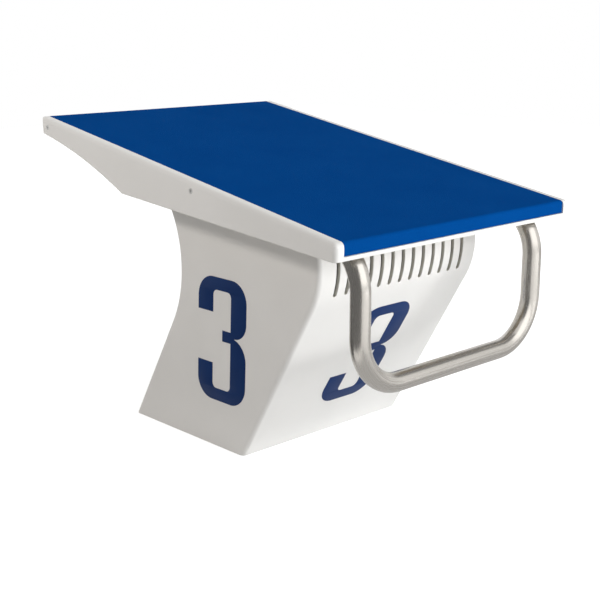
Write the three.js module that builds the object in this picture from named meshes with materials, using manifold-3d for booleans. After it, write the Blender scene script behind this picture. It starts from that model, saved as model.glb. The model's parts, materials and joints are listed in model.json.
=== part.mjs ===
// Swimming starting block: a hollow fibreglass pedestal that leans towards the water, a sloping
// platform with a blue non-slip tread, and a stainless hand rail for backstroke starts.
// Lengths are millimetres. +X is the swimmer's right, -Y faces the water and +Z is up.
// The origin is on the pool deck, under the middle of the platform.

import * as THREE from 'three';
import { mergeVertices } from 'three/addons/utils/BufferGeometryUtils.js';
import Module from 'manifold-3d';

const wasm = await Module();
wasm.setup();

const degrees = (angle) => THREE.MathUtils.degToRad(angle);
const { sin, cos, tan, PI } = Math;

// Fits and cuts
const fitGap = 0.3; // between two pieces that touch
const cutOverrun = 40; // how far a cut runs past what it cuts
const boltHoleClearance = 0.6; // on the radius of a bolt's hole

// Tread, seen from the side: its front edge stands over the water
const treadWidth = 500;
const treadLength = 723;
const treadSlope = degrees(9.5);
const treadFrontHeight = 404;
const treadOverhang = 290; // from the pedestal's foot forward to the tread's front edge

// Non-slip pad, which turns down over the front edge
const padThickness = 4;
const padDropHeight = 19.5;
const padNoseRadius = 5;

// Platform moulding
const rimWidth = 17;
const rimRadius = 6;
const lipRadius = 8; // where the rim turns down over the front edge
const skinThickness = 4;
const skirtThickness = 6;
const lipHeight = 6.5;
const lipProud = 2; // the white lip stands this far in front of the pad
const frontWallThickness = 4.7;
const tailWallThickness = 5;
const kneeDistance = 480; // level distance from the tread's front edge to the skirt's knee
const kneeDepth = 68;
const tailDepth = 27;
const tailSag = 8;

// Stiffening board under the skin
const boardThickness = 16;

// Pedestal
const pedestalWidth = 364;
const footDepth = 294;
const leanAngle = degrees(30.2);
const noseRadius = 125;
const noseHeight = 334; // where the front wall is upright
const noseSweep = degrees(30);
const waistRadius = 190;
const waistHeight = 290; // where the back wall is upright
const waistSweep = degrees(45);
const wallThickness = 6;
const cornerRadius = 8;
const footFlangeThickness = 8;
const footFlangeWidth = 38;
const topFlangeThickness = 8;
const topFlangeWidth = 38;

// Vent slots in the pedestal's nose
const slotCount = 13;
const slotPitch = 23.7;
const slotWidth = 7.5;
const slotBelowNose = 45; // from the nose's height down to the slots' lower ends
const slotTopMargin = 12; // left between the slots and the top flange

// Hand rail
const railTubeRadius = 15;
const railTubeWall = 2;
const railBendRadius = 80;
const railInset = 52; // from the tread's side edge in to the rail's leg
const railSetback = 17.5; // from the tread's front edge back to the rail's legs
const railDrop = 225; // from the tread's front height down to the bar
const railTopBendDrop = 84; // from the tread's front height down to where the legs bend back
const railTopSweep = degrees(50);
const railTopRun = 45;
const railFootWidth = 90;
const railFootLength = 90;
const railFootThickness = 6;
const railFootSetback = 10;
const railFootCornerRadius = 10;
const railBoltSpacing = 64;

// Backing plates let into the board over the rail's feet
const backingMargin = 5; // inside the foot plate's outline
const backingThickness = 5;

// M10 fasteners
const boltRadius = 5;
const boltTail = 4; // thread left standing past the last piece
const hexHeadRadius = 9.8;
const hexHeadHeight = 6.5;
const countersinkRadius = 10;
const countersinkHeight = 5;
const countersinkRim = 0.5;
const socketRadius = 3.4;
const socketDepth = 2.6;
const washerRadius = 10.5;
const washerThickness = 2;

// Steel strips that clamp the platform to the pedestal and spread the deck anchors' load
const clampStripWidth = 28;
const clampStripThickness = 5;
const clampEndMargin = 14;
const clampBoltShares = [0.08, 0.5, 0.92]; // of the top flange's length
const footStripWidth = 28;
const footStripThickness = 5;
const footStripEndMargin = 20;
const anchorHoleRadius = 7;
const anchorEndMargin = 48; // from the foot's edge in to an anchor hole

// Countersunk screws that hold the moulding to the board's edges
const coverScrewHeadRadius = 4.2;
const coverScrewHeadHeight = 2.2;
const coverScrewRadius = 2.1;
const coverScrewLength = 26;
const coverScrewPoint = 4;
const coverScrewSink = 0.2;
const coverScrewDepth = 14; // below the tread, square to it
const coverScrewSetback = 303; // from the tread's front edge back to the first screw
const coverScrewTailMargin = 23; // from the last screw back to the tread's back edge
const coverScrewStations = [coverScrewSetback, treadLength - coverScrewTailMargin];
const crossSlotWidth = 1;
const crossSlotLength = 4.6;
const crossSlotDepth = 1.3;

// Lane number, cut from vinyl film
const numberWidth = 119;
const numberHeight = 208;
const numberStroke = 37.5;
const numberBar = 21;
const numberRadius = 36;
const numberInnerRadius = 9;
const numberWaist = 113;
const numberWaistRadius = 28; // under the upper bowl
const numberStubLength = 20.5;
const numberStubThickness = 18.5;
const numberArmHigh = 149;
const numberArmLow = 63;
const filmThickness = 0.5;
const sideNumberSlant = degrees(2.6);
const sideNumberHeight = 80.5; // above the deck
const sideNumberSetback = 53.5; // from the foot's front edge back to the number's middle
const frontNumberSlant = degrees(1.5);
const frontNumberHeight = 79.5; // up the leaning front from the foot
const frontNumberOffset = 2; // to the right of the front's middle

// How finely round stretches are drawn
const arcSteps = 12;
const noseSteps = 5;
const cornerSteps = 3;
const slotSteps = 4;
const bendSteps = 10;
const tubeSides = 16;
const holeSides = 16;
const hexSides = 6;

// Finishes
const gelcoat = new THREE.MeshStandardMaterial({ color: 0xe9e8e4, roughness: 0.35, metalness: 0 });
const grip = new THREE.MeshStandardMaterial({ color: 0x034a94, roughness: 0.85, metalness: 0 });
const plywood = new THREE.MeshStandardMaterial({ color: 0xb8946a, roughness: 0.7, metalness: 0 });
const stainless = new THREE.MeshStandardMaterial({ color: 0xb9b1a9, roughness: 0.35, metalness: 1 });
const fastenerSteel = new THREE.MeshStandardMaterial({ color: 0x9c9c9a, roughness: 0.4, metalness: 1 });
const film = new THREE.MeshStandardMaterial({ color: 0x16265c, roughness: 0.45, metalness: 0 });

// Places that follow from the driving dimensions
const treadFrontY = -treadOverhang;
const treadBackY = treadFrontY + treadLength * cos(treadSlope);
const lipY = treadFrontY - lipProud;
const lipBottomZ = treadFrontHeight - padDropHeight - lipHeight;
const padDropBackY = treadFrontY + padThickness;
const frontWallBackY = padDropBackY + fitGap + frontWallThickness;
const platformHalfWidth = treadWidth / 2 + rimWidth;
const cavityHalfWidth = platformHalfWidth - skirtThickness;
const middleY = (lipY + treadBackY) / 2;

// Depths below the tread, square to it, counted down through the stack of pieces
const skinTop = padThickness + fitGap;
const skinBottom = skinTop + skinThickness;
const boardTop = skinBottom + fitGap;
const boardBottom = boardTop + boardThickness;
const flangeTop = boardBottom + fitGap;
const flangeBottom = flangeTop + topFlangeThickness;
const stripTop = flangeBottom + fitGap;
const stripBottom = stripTop + clampStripThickness;
const railFootTop = boardBottom + fitGap;
const railFootBottom = railFootTop + railFootThickness;

// Height of a plane parallel to the tread, at a depth below it
function slopeHeight(y, depth) {
  return treadFrontHeight + (y - treadFrontY) * tan(treadSlope) - depth / cos(treadSlope);
}

const deckMatrix = new THREE.Matrix4()
  .makeTranslation(0, treadFrontY, treadFrontHeight)
  .multiply(new THREE.Matrix4().makeRotationX(treadSlope));

// Closed solids, joined and cut
function toManifold(geometry) {
  const bare = geometry.index ? geometry.toNonIndexed() : geometry.clone();
  bare.deleteAttribute('normal');
  bare.deleteAttribute('uv');
  const merged = mergeVertices(bare);
  const index = merged.index.array;
  const triangles = [];
  for (let i = 0; i < index.length; i += 3) {
    const [a, b, c] = [index[i], index[i + 1], index[i + 2]];
    if (a !== b && b !== c && c !== a) triangles.push(a, b, c);
  }
  return new wasm.Manifold(new wasm.Mesh({
    numProp: 3,
    vertProperties: new Float32Array(merged.attributes.position.array),
    triVerts: new Uint32Array(triangles),
  }));
}

function toGeometry(manifold) {
  const mesh = manifold.getMesh();
  const geometry = new THREE.BufferGeometry();
  geometry.setAttribute('position', new THREE.BufferAttribute(mesh.vertProperties, 3));
  geometry.setIndex(new THREE.BufferAttribute(mesh.triVerts, 1));
  return geometry;
}

function cut(geometry, cutters) {
  let result = toManifold(geometry);
  for (const cutter of cutters) result = result.subtract(toManifold(cutter));
  return toGeometry(result);
}

function join(...geometries) {
  const [first, ...rest] = geometries.map(toManifold);
  return toGeometry(rest.reduce((sum, next) => sum.add(next), first));
}

// Outlines are lists of points, with arcs worked out
function arc(x, y, radius, from, to, steps) {
  const points = [];
  for (let i = 0; i <= steps; i += 1) {
    const angle = from + ((to - from) * i) / steps;
    points.push(new THREE.Vector2(x + radius * cos(angle), y + radius * sin(angle)));
  }
  return points;
}

function point(x, y) {
  return [new THREE.Vector2(x, y)];
}

function outline(...runs) {
  const points = [];
  for (const next of runs.flat()) {
    const last = points[points.length - 1];
    if (!last || last.distanceTo(next) > fitGap / cutOverrun) points.push(next);
  }
  return new THREE.Shape(points);
}

function roundedRectangle(width, length, radius) {
  const x = width / 2 - radius;
  const y = length / 2 - radius;
  return outline(
    arc(x, y, radius, 0, PI / 2, cornerSteps),
    arc(-x, y, radius, PI / 2, PI, cornerSteps),
    arc(-x, -y, radius, PI, PI * 1.5, cornerSteps),
    arc(x, -y, radius, PI * 1.5, PI * 2, cornerSteps),
  );
}

// A side view in Y and Z, drawn out across the block, with its outer edges rounded if asked
function acrossX(shape, halfWidth, radius = 0) {
  const depth = 2 * (halfWidth - radius);
  const geometry = new THREE.ExtrudeGeometry(shape, {
    depth,
    bevelEnabled: radius > 0,
    bevelThickness: radius,
    bevelSize: radius,
    bevelOffset: -radius,
    bevelSegments: cornerSteps,
  });
  geometry.translate(0, 0, -depth / 2);
  return geometry.applyMatrix4(new THREE.Matrix4().makeBasis(
    new THREE.Vector3(0, 1, 0),
    new THREE.Vector3(0, 0, 1),
    new THREE.Vector3(1, 0, 0),
  ));
}

function plate(shape, bottom, top) {
  const geometry = new THREE.ExtrudeGeometry(shape, { depth: top - bottom, bevelEnabled: false });
  return geometry.translate(0, 0, bottom);
}

function block(low, high) {
  const size = high.map((value, i) => value - low[i]);
  const geometry = new THREE.BoxGeometry(...size);
  return geometry.translate(...high.map((value, i) => (value + low[i]) / 2));
}

// An upright round bar between two heights
function bar(x, y, radius, bottom, top, sides = holeSides) {
  const geometry = new THREE.CylinderGeometry(radius, radius, top - bottom, sides);
  geometry.rotateX(PI / 2);
  return geometry.translate(x, y, (bottom + top) / 2);
}

// A turned shape about +Z, from pairs of radius and height that start and end on the axis
function turned(profile) {
  const points = profile.map(([radius, height]) => new THREE.Vector2(radius, height));
  return new THREE.LatheGeometry(points, holeSides).rotateX(PI / 2);
}

function piece(name, geometry, material, parent) {
  const mesh = new THREE.Mesh(geometry, material);
  mesh.name = name;
  parent.add(mesh);
  return mesh;
}

// The object, and the nested frame of what lies square to the tread
const startingBlock = new THREE.Group();
startingBlock.position.y = -middleY;
const deck = new THREE.Group();
deck.position.set(0, treadFrontY, treadFrontHeight);
deck.rotation.x = treadSlope;
startingBlock.add(deck);

// Pedestal walls: a leaning straight, an arc that turns the wall upright and back, and a straight
const noseCentreY = noseRadius / cos(leanAngle) - noseHeight * tan(leanAngle);
const waistCentreY = footDepth + waistRadius / cos(leanAngle) - waistHeight * tan(leanAngle);

function wall(centreY, centreZ, radius, sweep, bottomZ, topZ) {
  const run = arc(centreY, centreZ, radius, PI + leanAngle, PI - sweep, arcSteps);
  const low = run[0];
  const high = run[run.length - 1];
  return [
    ...point(low.x + (low.y - bottomZ) * tan(leanAngle), bottomZ),
    ...run,
    ...point(high.x + (topZ - high.y) * tan(sweep), topZ),
  ];
}

function frontWall(inset, bottomZ, topZ) {
  return wall(noseCentreY, noseHeight, noseRadius - inset, noseSweep, bottomZ, topZ);
}

function backWall(inset, bottomZ, topZ) {
  return wall(waistCentreY, waistHeight, waistRadius + inset, waistSweep, bottomZ, topZ);
}

function pedestalOutline(inset, bottomZ, topZ) {
  return outline(frontWall(inset, bottomZ, topZ), backWall(inset, bottomZ, topZ).reverse());
}

// How far along the tread a wall's inner face crosses a plane that lies at a depth below the tread
function wallStation(points, depth) {
  for (let i = 1; i < points.length; i += 1) {
    const [a, b] = [points[i - 1], points[i]];
    const rise = (p) => p.y - slopeHeight(p.x, depth);
    if (rise(a) <= 0 && rise(b) > 0) {
      const share = rise(a) / (rise(a) - rise(b));
      const y = a.x + (b.x - a.x) * share;
      return (y - treadFrontY) / cos(treadSlope) - depth * tan(treadSlope);
    }
  }
  return treadLength / 2;
}

const pedestalTopZ = slopeHeight(treadBackY, 0);
const flangeFront = wallStation(frontWall(wallThickness, 0, pedestalTopZ), flangeBottom);
const flangeBack = wallStation(backWall(wallThickness, 0, pedestalTopZ), stripBottom);
const flangeLength = flangeBack - flangeFront;
const clampX = pedestalWidth / 2 - wallThickness - topFlangeWidth / 2;
const clampBoltStations = clampBoltShares.map((share) => flangeFront + flangeLength * share);
const footStripX = pedestalWidth / 2 - wallThickness - footFlangeWidth / 2;
const anchorStations = [anchorEndMargin, footDepth - anchorEndMargin];

// All that lies above a plane at a depth below the tread
function aboveDepth(depth) {
  const half = platformHalfWidth + cutOverrun;
  const box = block([-half, -treadLength, -depth], [half, treadLength * 2, treadLength]);
  return box.applyMatrix4(deckMatrix);
}

// Hollow inside of the pedestal, between its two flanges
function pedestalInside() {
  const inside = acrossX(
    pedestalOutline(wallThickness, footFlangeThickness, pedestalTopZ),
    pedestalWidth / 2 - wallThickness,
  );
  return cut(inside, [aboveDepth(flangeBottom)]);
}

function slot(x) {
  const bottom = noseHeight - slotBelowNose;
  const noseY = noseCentreY - noseRadius;
  const top = slopeHeight(noseY, flangeBottom) - slotTopMargin;
  const radius = slotWidth / 2;
  const shape = outline(
    arc(0, top - radius, radius, 0, PI, slotSteps),
    arc(0, bottom + radius, radius, PI, PI * 2, slotSteps),
  );
  const geometry = new THREE.ExtrudeGeometry(shape, { depth: cutOverrun * 2, bevelEnabled: false });
  geometry.rotateX(PI / 2);
  return geometry.translate(x, noseY + cutOverrun, 0);
}

function pedestalShell() {
  const body = acrossX(
    pedestalOutline(0, -cutOverrun, pedestalTopZ + cutOverrun),
    pedestalWidth / 2,
    cornerRadius,
  );
  const half = pedestalWidth / 2 + cutOverrun;
  const underDeck = block(
    [-half, -treadLength, -cutOverrun * 2],
    [half, treadLength, 0],
  );
  const footReach = pedestalWidth / 2 - wallThickness - footFlangeWidth;
  const footOpening = block(
    [-footReach, footFlangeWidth, -cutOverrun],
    [footReach, footDepth - footFlangeWidth, footFlangeThickness + fitGap],
  );
  const topReach = pedestalWidth / 2 - wallThickness - topFlangeWidth;
  const topOpening = block(
    [-topReach, flangeFront + topFlangeWidth, -flangeBottom - fitGap],
    [topReach, flangeBack - topFlangeWidth, 0],
  ).applyMatrix4(deckMatrix);
  const cutters = [
    underDeck,
    aboveDepth(flangeTop),
    pedestalInside(),
    footOpening,
    topOpening,
  ];
  for (let i = 0; i < slotCount; i += 1) {
    cutters.push(slot((i - (slotCount - 1) / 2) * slotPitch));
  }
  for (const side of [-1, 1]) {
    for (const station of clampBoltStations) {
      const hole = bar(side * clampX, station, boltRadius + boltHoleClearance, -stripBottom, 0);
      cutters.push(hole.applyMatrix4(deckMatrix));
    }
    for (const station of anchorStations) {
      cutters.push(bar(side * footStripX, station, anchorHoleRadius, -cutOverrun, cutOverrun));
    }
  }
  return cut(body, cutters);
}

// Platform moulding: rounded outside, then the skirt's lower edge, the pad's bed and the hollow
function platformOutline() {
  const centreY = lipY + lipRadius;
  const centreZ = slopeHeight(centreY, lipRadius);
  return outline(
    point(lipY, lipBottomZ - cutOverrun),
    arc(centreY, centreZ, lipRadius, PI, PI / 2 + treadSlope, noseSteps),
    point(treadBackY, slopeHeight(treadBackY, 0)),
    point(treadBackY, lipBottomZ - cutOverrun),
  );
}

// The skirt's lower edge runs straight to its knee, then up the thin tail in a shallow arc
function underSkirt() {
  const knee = new THREE.Vector2(treadFrontY + kneeDistance, 0);
  knee.y = slopeHeight(knee.x, 0) - kneeDepth;
  const tail = new THREE.Vector2(treadBackY, slopeHeight(treadBackY, 0) - tailDepth);
  const chord = knee.distanceTo(tail);
  const radius = (chord * chord) / (tailSag * 8) + tailSag / 2;
  const half = Math.asin(chord / 2 / radius);
  const direction = tail.clone().sub(knee).angle();
  const centre = knee.clone().add(tail).multiplyScalar(0.5);
  centre.x += sin(direction) * (radius - tailSag);
  centre.y -= cos(direction) * (radius - tailSag);
  const middle = direction + PI / 2;
  return outline(
    point(lipY, lipBottomZ),
    arc(centre.x, centre.y, radius, middle + half, middle - half, arcSteps),
    point(treadBackY + cutOverrun, tail.y + cutOverrun * tan(treadSlope)),
    point(treadBackY + cutOverrun, lipBottomZ - cutOverrun * 2),
    point(lipY - cutOverrun, lipBottomZ - cutOverrun * 2),
    point(lipY - cutOverrun, lipBottomZ),
  );
}

function padBed() {
  const ledge = lipBottomZ + lipHeight - fitGap;
  const back = padDropBackY + fitGap;
  const farBack = treadBackY + cutOverrun;
  return outline(
    point(lipY - cutOverrun, ledge),
    point(back, ledge),
    point(back, slopeHeight(back, skinTop)),
    point(farBack, slopeHeight(farBack, skinTop)),
    point(farBack, slopeHeight(farBack, 0) + cutOverrun),
    point(lipY - cutOverrun, slopeHeight(farBack, 0) + cutOverrun),
  );
}

function platformHollow() {
  const back = treadBackY - tailWallThickness;
  return outline(
    point(frontWallBackY, lipBottomZ - cutOverrun * 2),
    point(frontWallBackY, slopeHeight(frontWallBackY, skinBottom)),
    point(back, slopeHeight(back, skinBottom)),
    point(back, lipBottomZ - cutOverrun * 2),
  );
}

function platformShell() {
  const body = acrossX(platformOutline(), platformHalfWidth, rimRadius);
  const cutters = [
    acrossX(underSkirt(), platformHalfWidth + cutOverrun),
    acrossX(padBed(), treadWidth / 2 + fitGap),
    acrossX(platformHollow(), cavityHalfWidth),
  ];
  for (const side of [-1, 1]) {
    for (const station of coverScrewStations) {
      cutters.push(coverScrewBody(side, station, fitGap).applyMatrix4(deckMatrix));
    }
  }
  return cut(body, cutters);
}

function treadPad() {
  const centreY = treadFrontY + padNoseRadius;
  const centreZ = slopeHeight(centreY, padNoseRadius);
  const shape = outline(
    point(treadFrontY, lipBottomZ + lipHeight),
    arc(centreY, centreZ, padNoseRadius, PI, PI / 2 + treadSlope, noseSteps),
    point(treadBackY, slopeHeight(treadBackY, 0)),
    point(treadBackY, slopeHeight(treadBackY, padThickness)),
    point(padDropBackY, slopeHeight(padDropBackY, padThickness)),
    point(padDropBackY, lipBottomZ + lipHeight),
  );
  return acrossX(shape, treadWidth / 2);
}

// Screws of the moulding, each along X with its head let into the skirt
const coverScrewFace = platformHalfWidth - coverScrewSink;

function coverScrewBody(side, station, clearance) {
  const headBottom = coverScrewFace - coverScrewHeadHeight;
  const pointBottom = coverScrewFace - coverScrewLength;
  const screw = turned([
    [0, pointBottom - clearance],
    [coverScrewRadius + clearance, pointBottom + coverScrewPoint],
    [coverScrewRadius + clearance, headBottom],
    [coverScrewHeadRadius + clearance, coverScrewFace - coverScrewSink],
    [coverScrewHeadRadius + clearance, coverScrewFace + clearance],
    [0, coverScrewFace + clearance],
  ]);
  screw.rotateY((side * PI) / 2);
  return screw.translate(0, station, -coverScrewDepth);
}

function coverScrew(side, station) {
  const middle = new THREE.Vector3(side * coverScrewFace, station, -coverScrewDepth);
  const slots = [
    new THREE.BoxGeometry(crossSlotDepth * 2, crossSlotLength, crossSlotWidth),
    new THREE.BoxGeometry(crossSlotDepth * 2, crossSlotWidth, crossSlotLength),
  ];
  return cut(
    coverScrewBody(side, station, 0),
    slots.map((slotBox) => slotBox.translate(middle.x, middle.y, middle.z)),
  );
}

// Stiffening board, in the tread's frame
const boardFront = (frontWallBackY + fitGap - treadFrontY - boardTop * sin(treadSlope)) / cos(treadSlope);
const boardBack = (treadBackY - tailWallThickness - fitGap - treadFrontY - boardBottom * sin(treadSlope))
  / cos(treadSlope);
const boardHalfWidth = cavityHalfWidth - fitGap;
const railX = treadWidth / 2 - railInset;
const railFootMiddle = railFootSetback + railFootLength / 2;
const backingWidth = railFootWidth - 2 * backingMargin;
const backingLength = railFootLength - 2 * backingMargin;
const recessDepth = backingThickness + fitGap;
const sides = [['left', -1], ['right', 1]];
const railBoltPlaces = [['outer', 1], ['inner', -1]];

function railBoltX(side, place) {
  return side * (railX + (place * railBoltSpacing) / 2);
}

function stiffeningBoard() {
  const board = block([-boardHalfWidth, boardFront, -boardBottom], [boardHalfWidth, boardBack, -boardTop]);
  const cutters = [];
  for (const [, side] of sides) {
    const recess = plate(
      roundedRectangle(backingWidth + 2 * fitGap, backingLength + 2 * fitGap, railFootCornerRadius),
      -boardTop - recessDepth,
      cutOverrun,
    );
    cutters.push(recess.translate(side * railX, railFootMiddle, 0));
    for (const [, place] of railBoltPlaces) {
      cutters.push(bar(
        railBoltX(side, place),
        railFootMiddle,
        boltRadius + boltHoleClearance,
        -boardBottom - cutOverrun,
        0,
      ));
    }
    for (const station of clampBoltStations) {
      cutters.push(countersunkBody(fitGap).translate(side * clampX, station, -boardTop));
    }
    for (const station of coverScrewStations) {
      cutters.push(coverScrewBody(side, station, fitGap));
    }
  }
  return cut(board, cutters);
}

// Countersunk bolt under its head's top face, or the hole that it takes
const clampBoltLength = stripBottom + boltTail - boardTop;

function countersunkBody(clearance) {
  return turned([
    [0, -clampBoltLength - clearance],
    [boltRadius + clearance, -clampBoltLength - clearance],
    [boltRadius + clearance, -countersinkHeight - countersinkRim],
    [countersinkRadius + clearance, -countersinkRim],
    [countersinkRadius + clearance, clearance],
    [0, clearance],
  ]);
}

function clampBolt() {
  const socket = bar(0, 0, socketRadius, -socketDepth, cutOverrun, hexSides);
  return cut(countersunkBody(0), [socket]);
}

// A flat steel strip with a row of holes
function strip(x, width, from, to, bottom, top, stations, holeRadius) {
  const body = block([x - width / 2, from, bottom], [x + width / 2, to, top]);
  return cut(body, stations.map((station) => bar(
    x,
    station,
    holeRadius,
    bottom - cutOverrun,
    top + cutOverrun,
  )));
}

// Hand rail: one bent tube, followed from its middle out to one end and mirrored
class RailPath extends THREE.Curve {
  constructor(stations) {
    super();
    this.stations = stations;
  }

  station(share) {
    return this.stations[Math.round(share * (this.stations.length - 1))];
  }

  getPointAt(share, target = new THREE.Vector3()) {
    return target.copy(this.station(share).place);
  }

  getTangentAt(share, target = new THREE.Vector3()) {
    return target.copy(this.station(share).heading);
  }
}

function railPath() {
  const legY = treadFrontY + railSetback;
  const barZ = treadFrontHeight - railDrop;
  const bendZ = treadFrontHeight - railTopBendDrop;
  const half = [];
  const add = (x, y, z, hx, hy, hz) => half.push({
    place: new THREE.Vector3(x, y, z),
    heading: new THREE.Vector3(hx, hy, hz),
  });
  for (let i = 0; i <= bendSteps; i += 1) {
    const turn = ((PI / 2) * i) / bendSteps;
    const x = railX - railBendRadius + railBendRadius * sin(turn);
    add(x, legY, barZ + railBendRadius * (1 - cos(turn)), cos(turn), 0, sin(turn));
  }
  for (let i = 0; i <= bendSteps; i += 1) {
    const turn = (railTopSweep * i) / bendSteps;
    const y = legY + railBendRadius * (1 - cos(turn));
    add(railX, y, bendZ + railBendRadius * sin(turn), 0, sin(turn), cos(turn));
  }
  const last = half[half.length - 1];
  const end = last.place.clone().addScaledVector(last.heading, railTopRun);
  add(end.x, end.y, end.z, last.heading.x, last.heading.y, last.heading.z);
  const mirrored = half.map(({ place, heading }) => ({
    place: new THREE.Vector3(-place.x, place.y, place.z),
    heading: new THREE.Vector3(heading.x, -heading.y, -heading.z),
  }));
  return new RailPath([...mirrored.reverse(), ...half]);
}

function bentBar(radius) {
  const path = railPath();
  const section = outline(arc(0, 0, radius, 0, PI * 2 * (1 - 1 / tubeSides), tubeSides - 1));
  return new THREE.ExtrudeGeometry(section, { extrudePath: path, steps: path.stations.length - 1 });
}

function railTube() {
  return cut(bentBar(railTubeRadius), [
    bentBar(railTubeRadius - railTubeWall),
    aboveDepth(railFootBottom + fitGap),
  ]);
}

function railFoot() {
  const shape = roundedRectangle(railFootWidth, railFootLength, railFootCornerRadius);
  return cut(plate(shape, -railFootBottom, -railFootTop), railBoltPlaces.map(([, place]) => bar(
    (place * railBoltSpacing) / 2,
    0,
    boltRadius + boltHoleClearance,
    -railFootBottom - cutOverrun,
    0,
  )));
}

function railBacking() {
  const shape = roundedRectangle(backingWidth, backingLength, railFootCornerRadius);
  const body = plate(shape, -boardTop - backingThickness, -boardTop);
  return cut(body, railBoltPlaces.map(([, place]) => bar(
    (place * railBoltSpacing) / 2,
    0,
    boltRadius + fitGap,
    -boardTop - cutOverrun,
    0,
  )));
}

const washerTop = railFootBottom + fitGap;
const hexHeadTop = washerTop + washerThickness + fitGap;

function railBolt() {
  const head = bar(0, 0, hexHeadRadius, -hexHeadTop - hexHeadHeight, -hexHeadTop, hexSides);
  const shank = bar(0, 0, boltRadius, -hexHeadTop - hexHeadHeight / 2, -boardTop - fitGap);
  return join(head, shank);
}

function railWasher() {
  const hole = boltRadius + fitGap;
  return new THREE.LatheGeometry([
    new THREE.Vector2(hole, -washerTop - washerThickness),
    new THREE.Vector2(washerRadius, -washerTop - washerThickness),
    new THREE.Vector2(washerRadius, -washerTop),
    new THREE.Vector2(hole, -washerTop),
    new THREE.Vector2(hole, -washerTop - washerThickness),
  ], holeSides).rotateX(PI / 2);
}

// Lane number 3: a narrow figure with two round bowls that meet at its waist
function numberShape(slant) {
  const [w, h, r, q] = [numberWidth, numberHeight, numberRadius, numberInnerRadius];
  const [s, b, c] = [numberStroke, numberBar, numberWaistRadius];
  const stubLeft = w - s - numberStubLength;
  const stubBottom = numberWaist - numberStubThickness / 2;
  const stubTop = numberWaist + numberStubThickness / 2;
  const corner = (x, y, radius, from, to) => arc(x, y, radius, from, to, noseSteps);
  const shape = outline(
    point(0, numberArmLow),
    corner(r, r, r, PI, PI * 1.5),
    corner(w - r, r, r, -PI / 2, 0),
    corner(w - r, numberWaist - r, r, 0, Math.acos(Math.min(1, Math.abs(r - c) / r))),
    corner(w - c, numberWaist + c, c, -PI / 2, 0),
    corner(w - r, h - r, r, 0, PI / 2),
    corner(r, h - r, r, PI / 2, PI),
    point(0, numberArmHigh),
    point(s, numberArmHigh),
    corner(s + q, h - b - q, q, PI, PI / 2),
    corner(w - s - q, h - b - q, q, PI / 2, 0),
    point(w - s, stubTop),
    point(stubLeft, stubTop),
    point(stubLeft, stubBottom),
    point(w - s, stubBottom),
    corner(w - s - q, b + q, q, 0, -PI / 2),
    corner(s + q, b + q, q, -PI / 2, -PI),
    point(s, numberArmLow),
  );
  const slanted = shape.getPoints().map((p) => new THREE.Vector2(p.x - w / 2 + p.y * tan(slant), p.y));
  return new THREE.Shape(slanted);
}

// A number on a flat wall: where its bottom middle lies, and which way its right and its top point
function laneNumber(place, right, up, slant) {
  const geometry = plate(numberShape(slant), fitGap, fitGap + filmThickness);
  const outward = right.clone().cross(up);
  const matrix = new THREE.Matrix4().makeBasis(right, up, outward);
  return geometry.applyMatrix4(matrix.setPosition(place));
}

// Assembly
piece('pedestal_shell', pedestalShell(), gelcoat, startingBlock);
piece('platform_shell', platformShell(), gelcoat, startingBlock);
piece('tread_pad', treadPad(), grip, startingBlock);
piece('stiffening_board', stiffeningBoard(), plywood, deck);
piece('rail_tube', railTube(), stainless, startingBlock);

for (const [label, side] of sides) {
  const foot = piece(`rail_foot_${label}`, railFoot(), stainless, deck);
  foot.position.set(side * railX, railFootMiddle, 0);
  const backing = piece(`rail_backing_${label}`, railBacking(), fastenerSteel, deck);
  backing.position.set(side * railX, railFootMiddle, 0);
  for (const [spot, place] of railBoltPlaces) {
    const bolt = piece(`rail_bolt_${label}_${spot}`, railBolt(), fastenerSteel, deck);
    bolt.position.set(railBoltX(side, place), railFootMiddle, 0);
    const washer = piece(`rail_washer_${label}_${spot}`, railWasher(), fastenerSteel, deck);
    washer.position.copy(bolt.position);
  }
  const clampStrip = strip(
    side * clampX,
    clampStripWidth,
    flangeFront + clampEndMargin,
    flangeBack - clampEndMargin,
    -stripBottom,
    -stripTop,
    clampBoltStations,
    boltRadius + fitGap,
  );
  piece(`clamp_strip_${label}`, clampStrip, fastenerSteel, deck);
  clampBoltStations.forEach((station, i) => {
    const bolt = piece(`clamp_bolt_${label}_${i + 1}`, clampBolt(), fastenerSteel, deck);
    bolt.position.set(side * clampX, station, -boardTop);
  });
  coverScrewStations.forEach((station, i) => {
    piece(`cover_screw_${label}_${i + 1}`, coverScrew(side, station), fastenerSteel, deck);
  });
  const footStrip = strip(
    side * footStripX,
    footStripWidth,
    footStripEndMargin,
    footDepth - footStripEndMargin,
    footFlangeThickness + fitGap,
    footFlangeThickness + fitGap + footStripThickness,
    anchorStations,
    anchorHoleRadius,
  );
  piece(`foot_strip_${label}`, footStrip, stainless, startingBlock);
  const sideNumber = laneNumber(
    new THREE.Vector3((side * pedestalWidth) / 2, sideNumberSetback, sideNumberHeight),
    new THREE.Vector3(0, side, 0),
    new THREE.Vector3(0, 0, 1),
    sideNumberSlant,
  );
  piece(`number_${label}`, sideNumber, film, startingBlock);
}

const frontNumberRise = new THREE.Vector3(0, -sin(leanAngle), cos(leanAngle));
const frontNumber = laneNumber(
  new THREE.Vector3(frontNumberOffset, 0, 0).addScaledVector(frontNumberRise, frontNumberHeight),
  new THREE.Vector3(1, 0, 0),
  frontNumberRise,
  frontNumberSlant,
);
piece('number_front', frontNumber, film, startingBlock);

export default startingBlock;
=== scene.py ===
"""A swimming starting block: white fibreglass pedestal and platform, blue non-slip tread, steel hand rail.

Lengths are metres. -Y faces the water, +X is right as seen from the water, and +Z is up.
"""

import json
from math import ceil, cos, pi, radians, sin, sqrt, tan

import bmesh
import bpy
from mathutils import Matrix, Vector


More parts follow.
